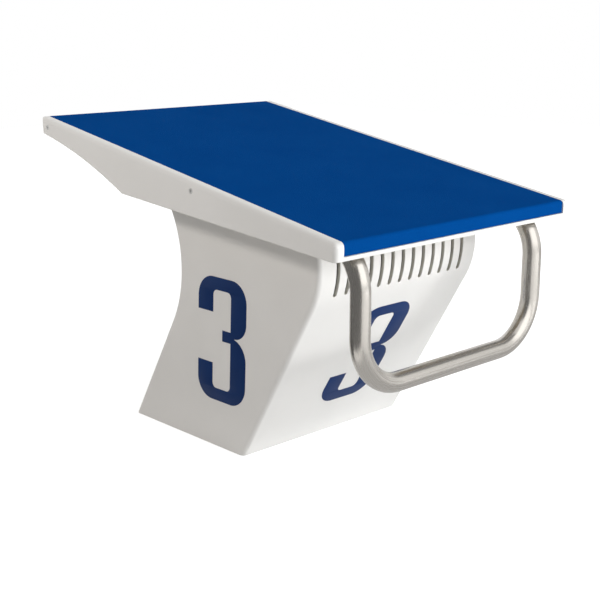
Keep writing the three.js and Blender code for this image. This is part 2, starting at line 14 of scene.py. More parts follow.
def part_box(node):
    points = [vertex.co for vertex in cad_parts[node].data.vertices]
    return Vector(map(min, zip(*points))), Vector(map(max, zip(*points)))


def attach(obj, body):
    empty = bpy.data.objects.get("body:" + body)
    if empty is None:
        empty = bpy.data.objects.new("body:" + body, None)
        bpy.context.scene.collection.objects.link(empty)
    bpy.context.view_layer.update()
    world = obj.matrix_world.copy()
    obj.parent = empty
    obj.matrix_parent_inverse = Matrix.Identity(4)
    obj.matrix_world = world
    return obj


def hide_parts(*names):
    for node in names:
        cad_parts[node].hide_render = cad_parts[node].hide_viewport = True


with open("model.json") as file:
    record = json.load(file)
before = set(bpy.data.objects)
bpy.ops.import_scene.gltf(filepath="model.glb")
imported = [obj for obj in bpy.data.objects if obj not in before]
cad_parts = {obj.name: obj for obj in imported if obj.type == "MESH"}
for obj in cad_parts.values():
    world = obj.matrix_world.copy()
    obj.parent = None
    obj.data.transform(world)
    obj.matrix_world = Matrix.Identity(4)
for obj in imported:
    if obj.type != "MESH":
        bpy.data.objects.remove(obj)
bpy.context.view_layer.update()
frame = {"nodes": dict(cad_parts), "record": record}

MM = 0.001

# What the frame gives
PLATFORM_LOW, PLATFORM_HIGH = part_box("platform_shell")
TREAD_LOW, TREAD_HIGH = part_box("tread_pad")
PEDESTAL_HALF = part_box("pedestal_shell")[1].x
MOUNTS = {mount["name"]: mount for mount in frame["record"]["mounts"]}
TREAD_POINT = Vector(MOUNTS["tread_top"]["pos_m"])
TREAD_NORMAL = Vector(MOUNTS["tread_top"]["axis"])
SLOPE = TREAD_NORMAL.angle(Vector((0, 0, 1)))
SIDES = (("left", -1), ("right", 1))

# Camera, at the photo's viewing angle
CAMERA_LENS = 68.779
SENSOR_WIDTH = 36
CAMERA_PLACE = (-1.30569, -1.39046, 0.69676)
CAMERA_TURN = (radians(75.91), 0, radians(-43.35))

# Fits
FIT_GAP = 0.3 * MM
OVERRUN = 40 * MM

# Tread pad and platform moulding
PAD_THICKNESS = 4 * MM
PAD_NOSE_RADIUS = 5 * MM
RIM_RADIUS = 7.5 * MM
LIP_RADIUS = 8 * MM
PLATFORM_EDGE = 0.9 * MM
PAD_EDGE = 0.8 * MM
PLATE_EDGE = 0.6 * MM
LIP_HEIGHT = 6.5 * MM
SKIN_THICKNESS = 4 * MM
SKIRT_THICKNESS = 6 * MM
FRONT_WALL = 4.7 * MM
TAIL_WALL = 5 * MM
KNEE_DISTANCE = 480 * MM
KNEE_DEPTH = 68 * MM
TAIL_DEPTH = 27 * MM
TAIL_SAG = 8 * MM
BOARD_THICKNESS = 16 * MM

# Pedestal
FOOT_DEPTH = 294 * MM
FOOT_STRIP_END = 20 * MM
LEAN = radians(30.2)
NOSE_RADIUS = 125 * MM
NOSE_HEIGHT = 334 * MM
NOSE_SWEEP = radians(30)
WAIST_RADIUS = 190 * MM
WAIST_HEIGHT = 290 * MM
WAIST_SWEEP = radians(45)
WALL = 6 * MM
CORNER = 8 * MM
FLANGE = 8 * MM
FLANGE_WIDTH = 38 * MM
FLANGE_CORNER = 10 * MM
FOOT_ROUNDING = 1.2 * MM

# Vent slots
SLOT_COUNT = 13
SLOT_PITCH = 23.7 * MM
SLOT_WIDTH = 7.5 * MM
SLOT_BELOW_NOSE = 45 * MM
SLOT_TOP_MARGIN = 12 * MM
SLOT_FRAME = 6.6 * MM
SLOT_ROUNDING = 0.9 * MM

# Hand rail
TUBE_RADIUS = 15 * MM
TUBE_WALL = 2 * MM
BEND_RADIUS = 80 * MM
RAIL_INSET = 52 * MM
RAIL_SETBACK = 17.5 * MM
RAIL_DROP = 225 * MM
RAIL_TOP_DROP = 84 * MM
RAIL_TOP_SWEEP = radians(50)
RAIL_TOP_RUN = 45 * MM
SEAT_BLOCK = (1.0, 1.0, 0.4)
WELD_RADIUS = 2.6 * MM
WELD_RIPPLE = 0.16
WELD_RIPPLE_SPACING = 2.2 * MM
WELD_SEAM_ANGLE = 0.4
FOOT_PLATE = 90 * MM
FOOT_PLATE_THICKNESS = 6 * MM
FOOT_PLATE_SETBACK = 10 * MM
FOOT_PLATE_CORNER = 10 * MM
BACKING_MARGIN = 5 * MM
BACKING_THICKNESS = 5 * MM
RAIL_BOLT_SPACING = 64 * MM

# Strips and fasteners
STRIP_CORNER = 2 * MM
CLAMP_WIDTH = 28 * MM
CLAMP_THICKNESS = 5 * MM
CLAMP_END = 14 * MM
CLAMP_BOLT_SHARES = (0.08, 0.5, 0.92)
ANCHOR_RADIUS = 7 * MM
ANCHOR_END = 48 * MM
BOLT_RADIUS = 5 * MM
BOLT_HOLE = 5.6 * MM
BOLT_TAIL = 4 * MM
HEX_RADIUS = 9.8 * MM
HEX_HEIGHT = 6.5 * MM
CHAMFER_ANGLE = radians(30)
CHAMFER_SHARE = 0.97
WASHER_RADIUS = 10.5 * MM
WASHER_THICKNESS = 2 * MM
COUNTERSINK_RADIUS = 10 * MM
COUNTERSINK_HEIGHT = 5 * MM
COUNTERSINK_RIM = 0.5 * MM
SOCKET_RADIUS = 3.4 * MM
SOCKET_DEPTH = 2.6 * MM
SCREW_HEAD_RADIUS = 4.2 * MM
SCREW_HEAD_HEIGHT = 2.2 * MM
SCREW_RADIUS = 2.1 * MM
SCREW_LENGTH = 26 * MM
SCREW_SINK = 0.2 * MM
SCREW_DEPTH = 14 * MM
SCREW_SETBACK = 303 * MM
SCREW_TAIL_MARGIN = 23 * MM
CROSS_WIDTH = 1 * MM
CROSS_LENGTH = 4.6 * MM
CROSS_DEPTH = 1.3 * MM
CROSS_PIT_RADIUS = 0.4 * MM
# A hole's cutter in washer thicknesses, and a head's cutters in socket depths. Those stand half out.
HOLE_REACH = 3.0
SOCKET_REACH = 2.0
SLOT_REACH = 1.8

# Lane number
NUMBER_WIDTH = 119 * MM
NUMBER_HEIGHT = 208 * MM
NUMBER_STROKE = 37.5 * MM
NUMBER_BAR = 21 * MM
NUMBER_RADIUS = 36 * MM
NUMBER_INNER_RADIUS = 9 * MM
NUMBER_WAIST = 113 * MM
NUMBER_WAIST_RADIUS = 28 * MM
NUMBER_STUB_LENGTH = 20.5 * MM
NUMBER_STUB_THICKNESS = 18.5 * MM
NUMBER_ARM_HIGH = 149 * MM
NUMBER_ARM_LOW = 63 * MM
FILM_THICKNESS = 0.3 * MM
FILM_EDGE = FILM_THICKNESS / 4
FILM_GAP = 0.05 * MM
SIDE_NUMBER_SLANT = radians(2.6)
SIDE_NUMBER_HEIGHT = 80.5 * MM
SIDE_NUMBER_SETBACK = 53.5 * MM
FRONT_NUMBER_SLANT = radians(1.5)
FRONT_NUMBER_HEIGHT = 79.5 * MM
FRONT_NUMBER_OFFSET = 2 * MM

# Fineness of the meshes
SAME_POINT = 1e-6
SAME_PLATE_POINT = 2e-6
SAME_FASTENER_POINT = 5e-6
POINT_SPACING = 0.03 * MM
STEP_SLACK = 1e-6
KEY_DIGITS = 6
SMOOTH_ANGLE = radians(34)
PLATE_SMOOTH_ANGLE = radians(50)
WELD_SMOOTH_ANGLE = radians(80)
FLAT_FACE_WEIGHT = 100
EDGE_SEGMENTS = 3
PLATE_EDGE_STEPS = 2
PLATE_CORNER_STEPS = 10
HOLE_STEPS = 40
RIM_STEPS = 8
NOSE_STEPS = 12
SKIRT_STEPS = 28
CUTTER_SIDES = 32
PEDESTAL_CORNER_STEPS = 8
PEDESTAL_SIDE_STEPS = 24
PEDESTAL_COLUMN_STEP = 20 * MM
PLAIN_WALL_HEIGHT = 150 * MM
PLAIN_ROW_STEP = 30 * MM
SLOT_ROW_STEP = 5.5 * MM
SLOT_END_STEPS = 8
SLOT_MOUTH_STEPS = 4
WALL_TOP_ROUNDS = 30
TUBE_SIDES = 56
BEND_STEPS = 28
WELD_SIDES = 12
WELD_POINTS = 360
HEAD_SIDES = 48
SHANK_SIDES = 32
SCREW_SIDES = 40
HEXAGON = 6
NUMBER_BEND_STEPS = 18
NUMBER_WAIST_STEPS = 14
NUMBER_INNER_STEPS = 8

# Shared effects
PATCH_DETAIL = 4.0
GRIT_EDGES = (0.55, 0.1)
ROUGH_PER_GRIT = 2.7
ROUGH_DETAIL = 2.0
ROUGH_HEIGHT = 0.5
SPECK_RANGE = (0.35, 0.65)
LINE_DETAIL = 3.0
LINE_RANGE = (0.3, 0.7)

# Finishes. A pair holds the two ends of what a finish ranges over.
GELCOAT_SHADES = ((0.80, 0.795, 0.775, 1), (0.835, 0.83, 0.812, 1))
GELCOAT_ROUGHNESS = (0.36, 0.46)
STRAND_TURNS = ((0.4, 1.1, 0.0), (1.3, 0.2, 0.9), (2.1, 1.7, 0.5))
LAMINATE_SHADES = ((0.74, 0.72, 0.65, 1), (0.86, 0.85, 0.79, 1))
LAMINATE_ROUGHNESS = (0.35, 0.6)
GRIP_DEEP_SHADES = ((0.0003, 0.051, 0.230, 1), (0.0004, 0.056, 0.248, 1))
GRIP_LIGHT_SHADES = ((0.0006, 0.065, 0.286, 1), (0.0008, 0.071, 0.304, 1))
GRIP_ROUGHNESS = (0.9, 0.82)
FILM_SHADES = ((0.0025, 0.024, 0.112, 1), (0.0040, 0.030, 0.132, 1))
FILM_ROUGHNESS = (0.42, 0.52)
STAINLESS = (0.58, 0.552, 0.512)
PLATE_ROUGHNESS = 0.27
TUBE_ROUGHNESS = 0.25
FASTENER_STEEL = (0.66, 0.655, 0.64)
FASTENER_ROUGHNESS = 0.42
STEEL_DULLED = 0.97
GROUND_ROUGHNESS = (-0.02, 0.03)
HANDLED_ROUGHNESS = (0.015, 0.0)
PLY_COUNT = 7
PLY_JOINT = (0.45, 0.55)
PLY_EDGE_FACING = (0.8, 0.6)
PLYWOOD_FACE = ((0.47, 0.40, 0.31, 1), (0.62, 0.54, 0.43, 1))
PLYWOOD_EDGE = ((0.26, 0.19, 0.12, 1), (0.60, 0.51, 0.40, 1))
PLYWOOD_ROUGHNESS = (0.5, 0.65)

# Studio. Distances are from the middle of the floor, and glows are strengths where 1 is white.
WHITE = (1, 1, 1, 1)
FLOOR_COLOUR = (0.75, 0.75, 0.75, 1)
FLOOR_HALF = 5
FLOOR_DROP = 0.2 * MM
FLOOR_FADE = (0.8, 2.5)
FLOOR_GLOW = (0.72, 1.0)
FLOOR_GLOSS_GLOW = 0.5
SKY_LIGHT = 0.28
# Name, place, point that it faces, width and height, watts, colour
LAMPS = (
    ("front_light", (1.3, -3.3, 1.0), (0, 0, 0.3), (2.4, 1.8), 118, (0.99, 0.995, 1.0)),
    ("side_light", (-2.09, 0.56, 1.57), (-0.2, 0.05, 0.35), (0.8, 0.28), 17.4, (1.0, 0.94, 0.885)),
    ("top_light", (0.3, 0.5, 2.6), (0, 0, 0.45), (1.2, 1.2), 7, (1.0, 0.99, 0.98)),
)
# Painted reflections: sheets that show only in gloss and paint dark, grey or bright reflections on the steel
# and gelcoat. Name, lowest corner, highest corner, glow
PAINTED_REFLECTIONS = (
    ("left_painted_dark", (-0.6, -1.0, 0), (-0.6, 0.1, 1.2), 0.2),
    ("low_painted_dark", (-0.6, 0.1, 0), (-0.6, 0.8, 0.27), 0.2),
    ("left_floor_painted_dark", (-1.8, -0.1, MM), (-0.28, 1.6, MM), 0.08),
    ("top_painted_dark", (0.3, -1.0, 1.2), (2.2, 0.6, 1.2), 0.3),
    ("right_painted_grey", (1.2, -1.6, 0), (1.2, 1.4, 0.3), 0.66),
    # A painted highlight, brighter than white, on the rail's bends
    ("front_painted_highlight", (-1.2, -2.0, 0.45), (1.3, -2.0, 2.6), 1.9),
    ("front_floor_painted_grey", (-0.4, -0.9, MM), (1.0, -0.08, MM), 0.62),
)

# Depths below the tread, square to it
SKIN_TOP = PAD_THICKNESS + FIT_GAP
SKIN_BOTTOM = SKIN_TOP + SKIN_THICKNESS
BOARD_TOP = SKIN_BOTTOM + FIT_GAP
BOARD_BOTTOM = BOARD_TOP + BOARD_THICKNESS
FLANGE_TOP = BOARD_BOTTOM + FIT_GAP
FLANGE_BOTTOM = FLANGE_TOP + FLANGE
STRIP_TOP = FLANGE_BOTTOM + FIT_GAP
STRIP_BOTTOM = STRIP_TOP + CLAMP_THICKNESS
PLATE_BOTTOM = FLANGE_TOP + FOOT_PLATE_THICKNESS

FOOT_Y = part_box("foot_strip_left")[0].y - FOOT_STRIP_END
RAIL_X = TREAD_HIGH.x - RAIL_INSET


def slope_height(y, depth=0.0):
    """Height of the plane that lies at a depth below the tread"""
    return TREAD_POINT.z + (y - TREAD_POINT.y) * tan(SLOPE) - depth / cos(SLOPE)


TREAD_FRONT_Z = slope_height(TREAD_LOW.y)
DECK = Matrix.Translation((0, TREAD_LOW.y, TREAD_FRONT_Z)) @ Matrix.Rotation(SLOPE, 4, "X")


# Meshes
def link(name, data):
    thing = bpy.data.objects.new(name, data)
    bpy.context.scene.collection.objects.link(thing)
    return thing


def discard(*things):
    for thing in things:
        bpy.data.objects.remove(thing)


def mesh_from(work, name):
    """The mesh of what was drawn in a bmesh"""
    mesh = bpy.data.meshes.new(name)
    work.to_mesh(mesh)
    work.free()
    return mesh


def plain_mesh(thing):
    """The mesh of an object with its modifiers used up"""
    depsgraph = bpy.context.evaluated_depsgraph_get()
    return bpy.data.meshes.new_from_object(
        thing.evaluated_get(depsgraph), preserve_all_data_layers=True, depsgraph=depsgraph
    )


def settle(thing):
    """Uses up an object's modifiers"""
    thing.data = plain_mesh(thing)
    thing.modifiers.clear()
    return thing


def clean(mesh, distance=SAME_POINT):
    """Merges doubles and points all faces outwards"""
    work = bmesh.new()
    work.from_mesh(mesh)
    bmesh.ops.remove_doubles(work, verts=work.verts, dist=distance)
    bmesh.ops.recalc_face_normals(work, faces=work.faces)
    work.to_mesh(mesh)
    work.free()
    return mesh


def joined(name, meshes):
    work = bmesh.new()
    for mesh in meshes:
        work.from_mesh(mesh)
    return link(name, mesh_from(work, name))


def smooth(mesh, angle=SMOOTH_ANGLE):
    """Shades a mesh smooth, apart from its sharp edges"""
    mesh.polygons.foreach_set("use_smooth", [True] * len(mesh.polygons))
    mesh.set_sharp_from_angle(angle=angle)
    return mesh


def flat_lit(thing):
    """Keeps an object's flat faces flat in the light"""
    smooth(thing.data)
    normals = thing.modifiers.new("normals", "WEIGHTED_NORMAL")
    normals.keep_sharp = True
    normals.weight = FLAT_FACE_WEIGHT
    return settle(thing)


def rounded(thing, width):
    """Rounds an object's sharp edges"""
    bevel = thing.modifiers.new("edges", "BEVEL")
    bevel.width = width
    bevel.segments = EDGE_SEGMENTS
    bevel.limit_method = "ANGLE"
    bevel.angle_limit = SMOOTH_ANGLE
    bevel.use_clamp_overlap = False
    flat_lit(settle(thing))


def cut(thing, cutters):
    """Cuts other objects out of an object, and throws them away"""
    for cutter in cutters:
        boolean = thing.modifiers.new("cut", "BOOLEAN")
        boolean.operation = "DIFFERENCE"
        boolean.solver = "EXACT"
        boolean.object = cutter
    settle(thing)
    discard(*cutters)


def finish_piece(thing, name, nodes, materials):
    thing.name = name
    thing.data.name = name
    thing.data.materials.clear()
    for material in materials:
        thing.data.materials.append(material)
    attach(thing, "root")
    if nodes:
        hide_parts(*nodes)


def paint_inside(thing, is_inside):
    """Gives the second material to the faces whose middles lie inside a moulding"""
    for face in thing.data.polygons:
        face.material_index = 1 if is_inside(face.center) else 0


# Outlines
def arc(x, y, radius, start, end, steps):
    return [
        (x + radius * cos(start + (end - start) * i / steps),
         y + radius * sin(start + (end - start) * i / steps))
        for i in range(steps + 1)
    ]


def quarter(steps):
    """Turns through a quarter circle"""
    return [pi / 2 * i / steps for i in range(steps + 1)]


def circle(x, y, radius):
    return arc(x, y, radius, 0, 2 * pi, HOLE_STEPS)[:-1]


def rounded_rectangle(width, length, radius):
    x = width / 2 - radius
    y = length / 2 - radius
    points = []
    for turn, (across_x, along_y) in enumerate(((x, y), (-x, y), (-x, -y), (x, -y))):
        points += arc(across_x, along_y, radius, pi / 2 * turn, pi / 2 * (turn + 1), PLATE_CORNER_STEPS)
    return points


def distinct(points):
    """An outline without points that lie on the one before"""
    kept = []
    for point in points:
        if not kept or (Vector(point) - Vector(kept[-1])).length > POINT_SPACING:
            kept.append(point)
    return kept


def divided(stops, step):
    """Values that run through every stop and lie no further apart than a step"""
    values = [stops[0]]
    for low, high in zip(stops, stops[1:]):
        count = max(1, ceil((high - low) / step - STEP_SLACK))
        values += [low + (high - low) * i / count for i in range(1, count + 1)]
    return values


def skin(work, rings):
    """Faces between each closed ring of vertices and the next"""
    for low, high in zip(rings, rings[1:]):
        for i in range(len(low)):
            j = (i + 1) % len(low)
            work.faces.new((low[i], low[j], high[j], high[i]))


def across(name, outline, half_width, radius=0.0):
    """A side view in Y and Z drawn out across the block, with its edges rounded by a radius.
    outline(inset) gives the points."""
    turns = quarter(RIM_STEPS) if radius else [pi / 2]
    places = [(half_width - radius + radius * sin(turn), radius * (1 - cos(turn))) for turn in turns]
    places = [(-x, inset) for x, inset in reversed(places)] + places
    work = bmesh.new()
    rings = [[work.verts.new((x, y, z)) for y, z in outline(inset)] for x, inset in places]
    skin(work, rings)
    work.faces.new(rings[0])
    work.faces.new(rings[-1])
    return link(name, clean(mesh_from(work, name)))


def plate_mesh(outline, holes, bottom, top, edge):
    """A flat plate with holes and eased edges, between two heights"""
    curve = bpy.data.curves.new("plate", "CURVE")
    curve.dimensions = "2D"
    curve.fill_mode = "BOTH"
    curve.extrude = (top - bottom) / 2 - edge
    curve.bevel_depth = edge
    curve.bevel_resolution = PLATE_EDGE_STEPS
    curve.offset = -edge
    for points in (outline, *holes):
        loop = distinct(points)
        spline = curve.splines.new("POLY")
        spline.points.add(len(loop) - 1)
        for place, (x, y) in zip(spline.points, loop):
            place.co = (x, y, 0, 1)
        spline.use_cyclic_u = True
    holder = link("plate", curve)
    mesh = plain_mesh(holder)
    discard(holder)
    mesh.transform(Matrix.Translation((0, 0, (bottom + top) / 2)))
    return smooth(clean(mesh, SAME_PLATE_POINT), PLATE_SMOOTH_ANGLE)


def drill(x, y, radius, bottom, top, placed=None):
    """A round cutter between two heights"""
    work = bmesh.new()
    bmesh.ops.create_cone(
        work, cap_ends=True, segments=CUTTER_SIDES, radius1=radius, radius2=radius, depth=top - bottom
    )
    mesh = mesh_from(work, "drill")
    mesh.transform((placed or Matrix()) @ Matrix.Translation((x, y, (top + bottom) / 2)))
    return link("drill", mesh)


# Node trees
class Graph:
    """A node tree that is filled one node at a time. A node stands for its first output."""

    def __init__(self, tree):
        self.tree = tree

    def add(self, kind, inputs=None, **settings):
        node = self.tree.nodes.new(kind)
        for name, value in settings.items():
            setattr(node, name, value)
        return self.wire(node, inputs or {})

    def wire(self, node, inputs):
        """Gives a node's inputs their values, or links them to other nodes"""
        for key, value in inputs.items():
            for single in value if isinstance(value, list) else [value]:
                if isinstance(single, bpy.types.Node):
                    single = single.outputs[0]
                if isinstance(single, bpy.types.NodeSocket):
                    self.tree.links.new(single, node.inputs[key])
                else:
                    node.inputs[key].default_value = single
        return node

    def math(self, operation, a, b=0.0):
        return self.add("ShaderNodeMath", {0: a, 1: b}, operation=operation)

    def vector(self, operation, a, b=(0, 0, 0)):
        return self.add("ShaderNodeVectorMath", {0: a, 1: b}, operation=operation)

    def parts(self, vector):
        return self.add("ShaderNodeSeparateXYZ", {0: vector}).outputs[:]

    def whole(self, x=0.0, y=0.0, z=0.0):
        return self.add("ShaderNodeCombineXYZ", {0: x, 1: y, 2: z})

    def spread(self, value, low, high, to_low=0.0, to_high=1.0):
        return self.add("ShaderNodeMapRange", {0: value, 1: low, 2: high, 3: to_low, 4: to_high})

    def between(self, share, low, high):
        return self.spread(share, 0, 1, low, high)

    def blend(self, share, a, b):
        return self.add("ShaderNodeMix", {0: share, 6: a, 7: b}, data_type="RGBA").outputs[2]

    def effect(self, tree, place, **sizes):
        """A shared effect with its own sizes"""
        named = {label.replace("_", " ").title(): size for label, size in sizes.items()}
        return self.add("ShaderNodeGroup", {"Vector": place, **named}, node_tree=tree)

    def bump(self, height, depth, strength, under=None):
        """Relief of a depth, on top of another relief"""
        inputs = {"Height": height, "Distance": depth, "Strength": strength}
        if under:
            inputs["Normal"] = under
        return self.add("ShaderNodeBump", inputs)

    def cylinder(self, sides, radius, height):
        return self.add("GeometryNodeMeshCylinder", {"Vertices": sides, "Radius": radius, "Depth": height})

    def ring(self, sides, radius):
        return self.add("GeometryNodeCurvePrimitiveCircle", {"Resolution": sides, "Radius": radius})

    def lifted(self, shape, height):
        return self.add("GeometryNodeTransform", {"Geometry": shape, "Translation": self.whole(z=height)})

    def boolean(self, operation, inputs):
        return self.add("GeometryNodeMeshBoolean", inputs, operation=operation, solver="EXACT")

    def noted(self, shape, label, value, kind):
        """Stores a value at each point of a shape under a name"""
        return self.add(
            "GeometryNodeStoreNamedAttribute",
            {"Geometry": shape, "Name": label, "Value": value},
            data_type=kind, domain="POINT",
        )


def new_tree(name, kind, inputs, outputs):
    tree = bpy.data.node_groups.new(name, kind)
    for label, form in inputs.items():
        tree.interface.new_socket(label, in_out="INPUT", socket_type="NodeSocket" + form)
    for label, form in outputs.items():
        tree.interface.new_socket(label, in_out="OUTPUT", socket_type="NodeSocket" + form)
    graph = Graph(tree)
    return graph, graph.add("NodeGroupInput").outputs


def new_shape(name, sizes, others=None):
    """A Geometry Nodes tree with named sizes, other inputs by their kind, a base and a material"""
    inputs = {"Geometry": "Geometry", **dict.fromkeys(sizes, "Float"), **(others or {})}
    inputs["Material"] = "Material"
    return new_tree(name, "GeometryNodeTree", inputs, {"Geometry": "Geometry"})


def finished_tree(graph, geometry, given):
    """Ends a tree in plain geometry with one material"""
    real = graph.add("GeometryNodeRealizeInstances", {0: geometry})
    painted = graph.add("GeometryNodeSetMaterial", {"Geometry": real, "Material": given["Material"]})
    graph.add("NodeGroupOutput", {0: painted})
    return graph.tree


def repeated_tree(graph, shape, given, turn=None):
    """Ends a tree with the shape set on every point of the base"""
    inputs = {"Points": graph.add("GeometryNodeMeshToPoints", {0: given["Geometry"]}), "Instance": shape}
    if turn:
        inputs["Rotation"] = turn
    return finished_tree(graph, graph.add("GeometryNodeInstanceOnPoints", inputs), given)


def grown(name, tree, base, values):
    """The plain mesh that a Geometry Nodes tree makes from a base mesh and its named sizes"""
    seed = link(name, base)
    modifier = seed.modifiers.new("grow", "NODES")
    modifier.node_group = tree
    for item in tree.interface.items_tree:
        if item.item_type == "SOCKET" and item.in_out == "INPUT" and item.name in values:
            modifier[item.identifier] = values[item.name]
    seed.update_tag()
    mesh = plain_mesh(seed)
    discard(seed)
    return mesh


def points_mesh(points, chained=False):
    """Bare points, or a route through them"""
    mesh = bpy.data.meshes.new("points")
    edges = [(i, i + 1) for i in range(len(points) - 1)] if chained else []
    mesh.from_pydata([tuple(point) for point in points], edges, [])
    return mesh


# Shared effects in the finishes
def patches_group():
    """Soft patches, as light handling leaves them"""
    graph, given = new_tree(
        "soft_patches", "ShaderNodeTree",
        {"Vector": "Vector", "Patch Size": "Float", "Contrast": "Float"}, {"Mask": "Float"},
    )
    noise = graph.add("ShaderNodeTexNoise", {
        "Vector": given["Vector"], "Scale": graph.math("DIVIDE", 1.0, given["Patch Size"]),
        "Detail": PATCH_DETAIL,
    })
    low = graph.math("SUBTRACT", 0.5, given["Contrast"])
    high = graph.math("ADD", 0.5, given["Contrast"])
    graph.add("NodeGroupOutput", {0: graph.spread(noise, low, high)})
    return graph.tree


def grain_group():
    """Fine grain: rounded grits with a finer roughness between them"""
    graph, given = new_tree(
        "fine_grain", "ShaderNodeTree",
        {"Vector": "Vector", "Grain Size": "Float"}, {"Height": "Float", "Speck": "Float"},
    )
    scale = graph.math("DIVIDE", 1.0, given["Grain Size"])
    cells = graph.add(
        "ShaderNodeTexVoronoi", {"Vector": given["Vector"], "Scale": scale}, feature="SMOOTH_F1"
    )
    rough = graph.add("ShaderNodeTexNoise", {
        "Vector": given["Vector"], "Scale": graph.math("MULTIPLY", scale, ROUGH_PER_GRIT),
        "Detail": ROUGH_DETAIL,
    })
    grits = graph.spread(cells.outputs["Distance"], *GRIT_EDGES)
    height = graph.math("ADD", grits, graph.math("MULTIPLY", rough, ROUGH_HEIGHT))
    graph.add("NodeGroupOutput", {"Height": height, "Speck": graph.spread(rough, *SPECK_RANGE)})
    return graph.tree


def brushed_group():
    """Fine ground lines that run along the third axis of the vector"""
    graph, given = new_tree(
        "ground_lines", "ShaderNodeTree",
        {"Vector": "Vector", "Line Width": "Float", "Line Length": "Float"}, {"Mask": "Float"},
    )
    wide = graph.math("DIVIDE", 1.0, given["Line Width"])
    long = graph.math("DIVIDE", 1.0, given["Line Length"])
    stretched = graph.vector("MULTIPLY", given["Vector"], graph.whole(wide, wide, long))
    noise = graph.add("ShaderNodeTexNoise", {"Vector": stretched, "Scale": 1.0, "Detail": LINE_DETAIL})
    graph.add("NodeGroupOutput", {0: graph.spread(noise, *LINE_RANGE)})
    return graph.tree


PATCHES = patches_group()
GRAIN = grain_group()
BRUSHED = brushed_group()


# Finishes
def cleared(holder):
    """The graph of a material or world, emptied of its first nodes"""
    holder.use_nodes = True
    holder.node_tree.nodes.clear()
    return Graph(holder.node_tree)


def new_material(name):
    """A material's graph, its shader and its object coordinates"""
    material = bpy.data.materials.new(name)
    graph = cleared(material)
    shader = graph.add("ShaderNodeBsdfPrincipled")
    graph.add("ShaderNodeOutputMaterial", {0: shader})
    place = graph.add("ShaderNodeTexCoord").outputs["Object"]
    return material, graph, shader, place


def gelcoat_material():
    """Satin white gelcoat: a trace of moulding ripple, and soft marks of wiping"""
    material, graph, shader, place = new_material("gelcoat")
    wiped = graph.effect(PATCHES, place, patch_size=140 * MM, contrast=0.22)
    specks = graph.effect(GRAIN, place, grain_size=2.4 * MM)
    ripple = graph.effect(PATCHES, place, patch_size=9 * MM, contrast=0.5)
    soft = graph.bump(ripple, depth=0.03 * MM, strength=0.5)
    graph.wire(shader, {
        "Base Color": graph.blend(wiped, *GELCOAT_SHADES),
        "Roughness": graph.between(wiped, *GELCOAT_ROUGHNESS),
        "Normal": graph.bump(specks, depth=0.008 * MM, strength=0.4, under=soft),
        "Coat Weight": 0.15,
        "Coat Roughness": 0.2,
        "Specular IOR Level": 0.4,
    })
    return material


def laminate_material():
    """The moulding's raw inside: resin over chopped glass mat"""
    material, graph, shader, place = new_material("raw_laminate")
    mat = 0.0
    for turn in STRAND_TURNS:
        turned = graph.add("ShaderNodeMapping", {"Vector": place, "Rotation": turn})
        strands = graph.effect(BRUSHED, turned, line_width=1.1 * MM, line_length=28 * MM)
        mat = graph.math("MAXIMUM", mat, strands)
    pooled = graph.effect(PATCHES, place, patch_size=35 * MM, contrast=0.2)
    graph.wire(shader, {
        "Base Color": graph.blend(mat, *LAMINATE_SHADES),
        "Roughness": graph.between(pooled, *LAMINATE_ROUGHNESS),
        "Normal": graph.bump(mat, depth=0.25 * MM, strength=0.7),
    })
    return material


def grip_material():
    """Blue non-slip surface: fine grit set in a matt coat, a little rubbed in places"""
    material, graph, shader, place = new_material("blue_grip")
    grit = graph.effect(GRAIN, place, grain_size=1.5 * MM)
    rubbed = graph.effect(PATCHES, place, patch_size=90 * MM, contrast=0.25)
    deep = graph.blend(rubbed, *GRIP_DEEP_SHADES)
    light = graph.blend(rubbed, *GRIP_LIGHT_SHADES)
    graph.wire(shader, {
        "Base Color": graph.blend(grit.outputs["Speck"], deep, light),
        "Roughness": graph.between(rubbed, *GRIP_ROUGHNESS),
        "Normal": graph.bump(grit, depth=0.35 * MM, strength=0.6),
        "Specular IOR Level": 0.01,
    })
    return material


def film_material():
    """Navy vinyl film, satin, with a faint ripple from being pressed on"""
    material, graph, shader, place = new_material("navy_film")
    pressed = graph.effect(PATCHES, place, patch_size=14 * MM, contrast=0.4)
    worn = graph.effect(PATCHES, place, patch_size=50 * MM, contrast=0.25)
    graph.wire(shader, {
        "Base Color": graph.blend(worn, *FILM_SHADES),
        "Roughness": graph.between(worn, *FILM_ROUGHNESS),
        "Normal": graph.bump(pressed, depth=0.03 * MM, strength=0.5),
        "Specular IOR Level": 0.2,
    })
    return material


def steel_material(name, colour, rough, place_of=None):
    """Ground stainless steel. place_of gives the coordinates that the ground lines follow."""
    material, graph, shader, place = new_material(name)
    followed = place_of(graph) if place_of else place
    lines = graph.effect(BRUSHED, followed, line_width=0.5 * MM, line_length=60 * MM)
    handled = graph.effect(PATCHES, place, patch_size=60 * MM, contrast=0.25)
    dull = tuple(STEEL_DULLED * part for part in colour)
    ground = graph.between(lines, *(rough + change for change in GROUND_ROUGHNESS))
    graph.wire(shader, {
        "Base Color": graph.blend(handled, (*dull, 1), (*colour, 1)),
        "Roughness": graph.math("ADD", ground, graph.between(handled, *HANDLED_ROUGHNESS)),
        "Normal": graph.bump(lines, depth=0.005 * MM, strength=0.3),
        "Metallic": 1.0,
    })
    return material


def tube_place(graph):
    """Where a point lies on the straightened tube"""
    ring = graph.add("ShaderNodeAttribute", attribute_name="ring").outputs["Vector"]
    along = graph.add("ShaderNodeAttribute", attribute_name="along").outputs["Fac"]
    x, y, _ = graph.parts(ring)
    return graph.whole(x, y, along)


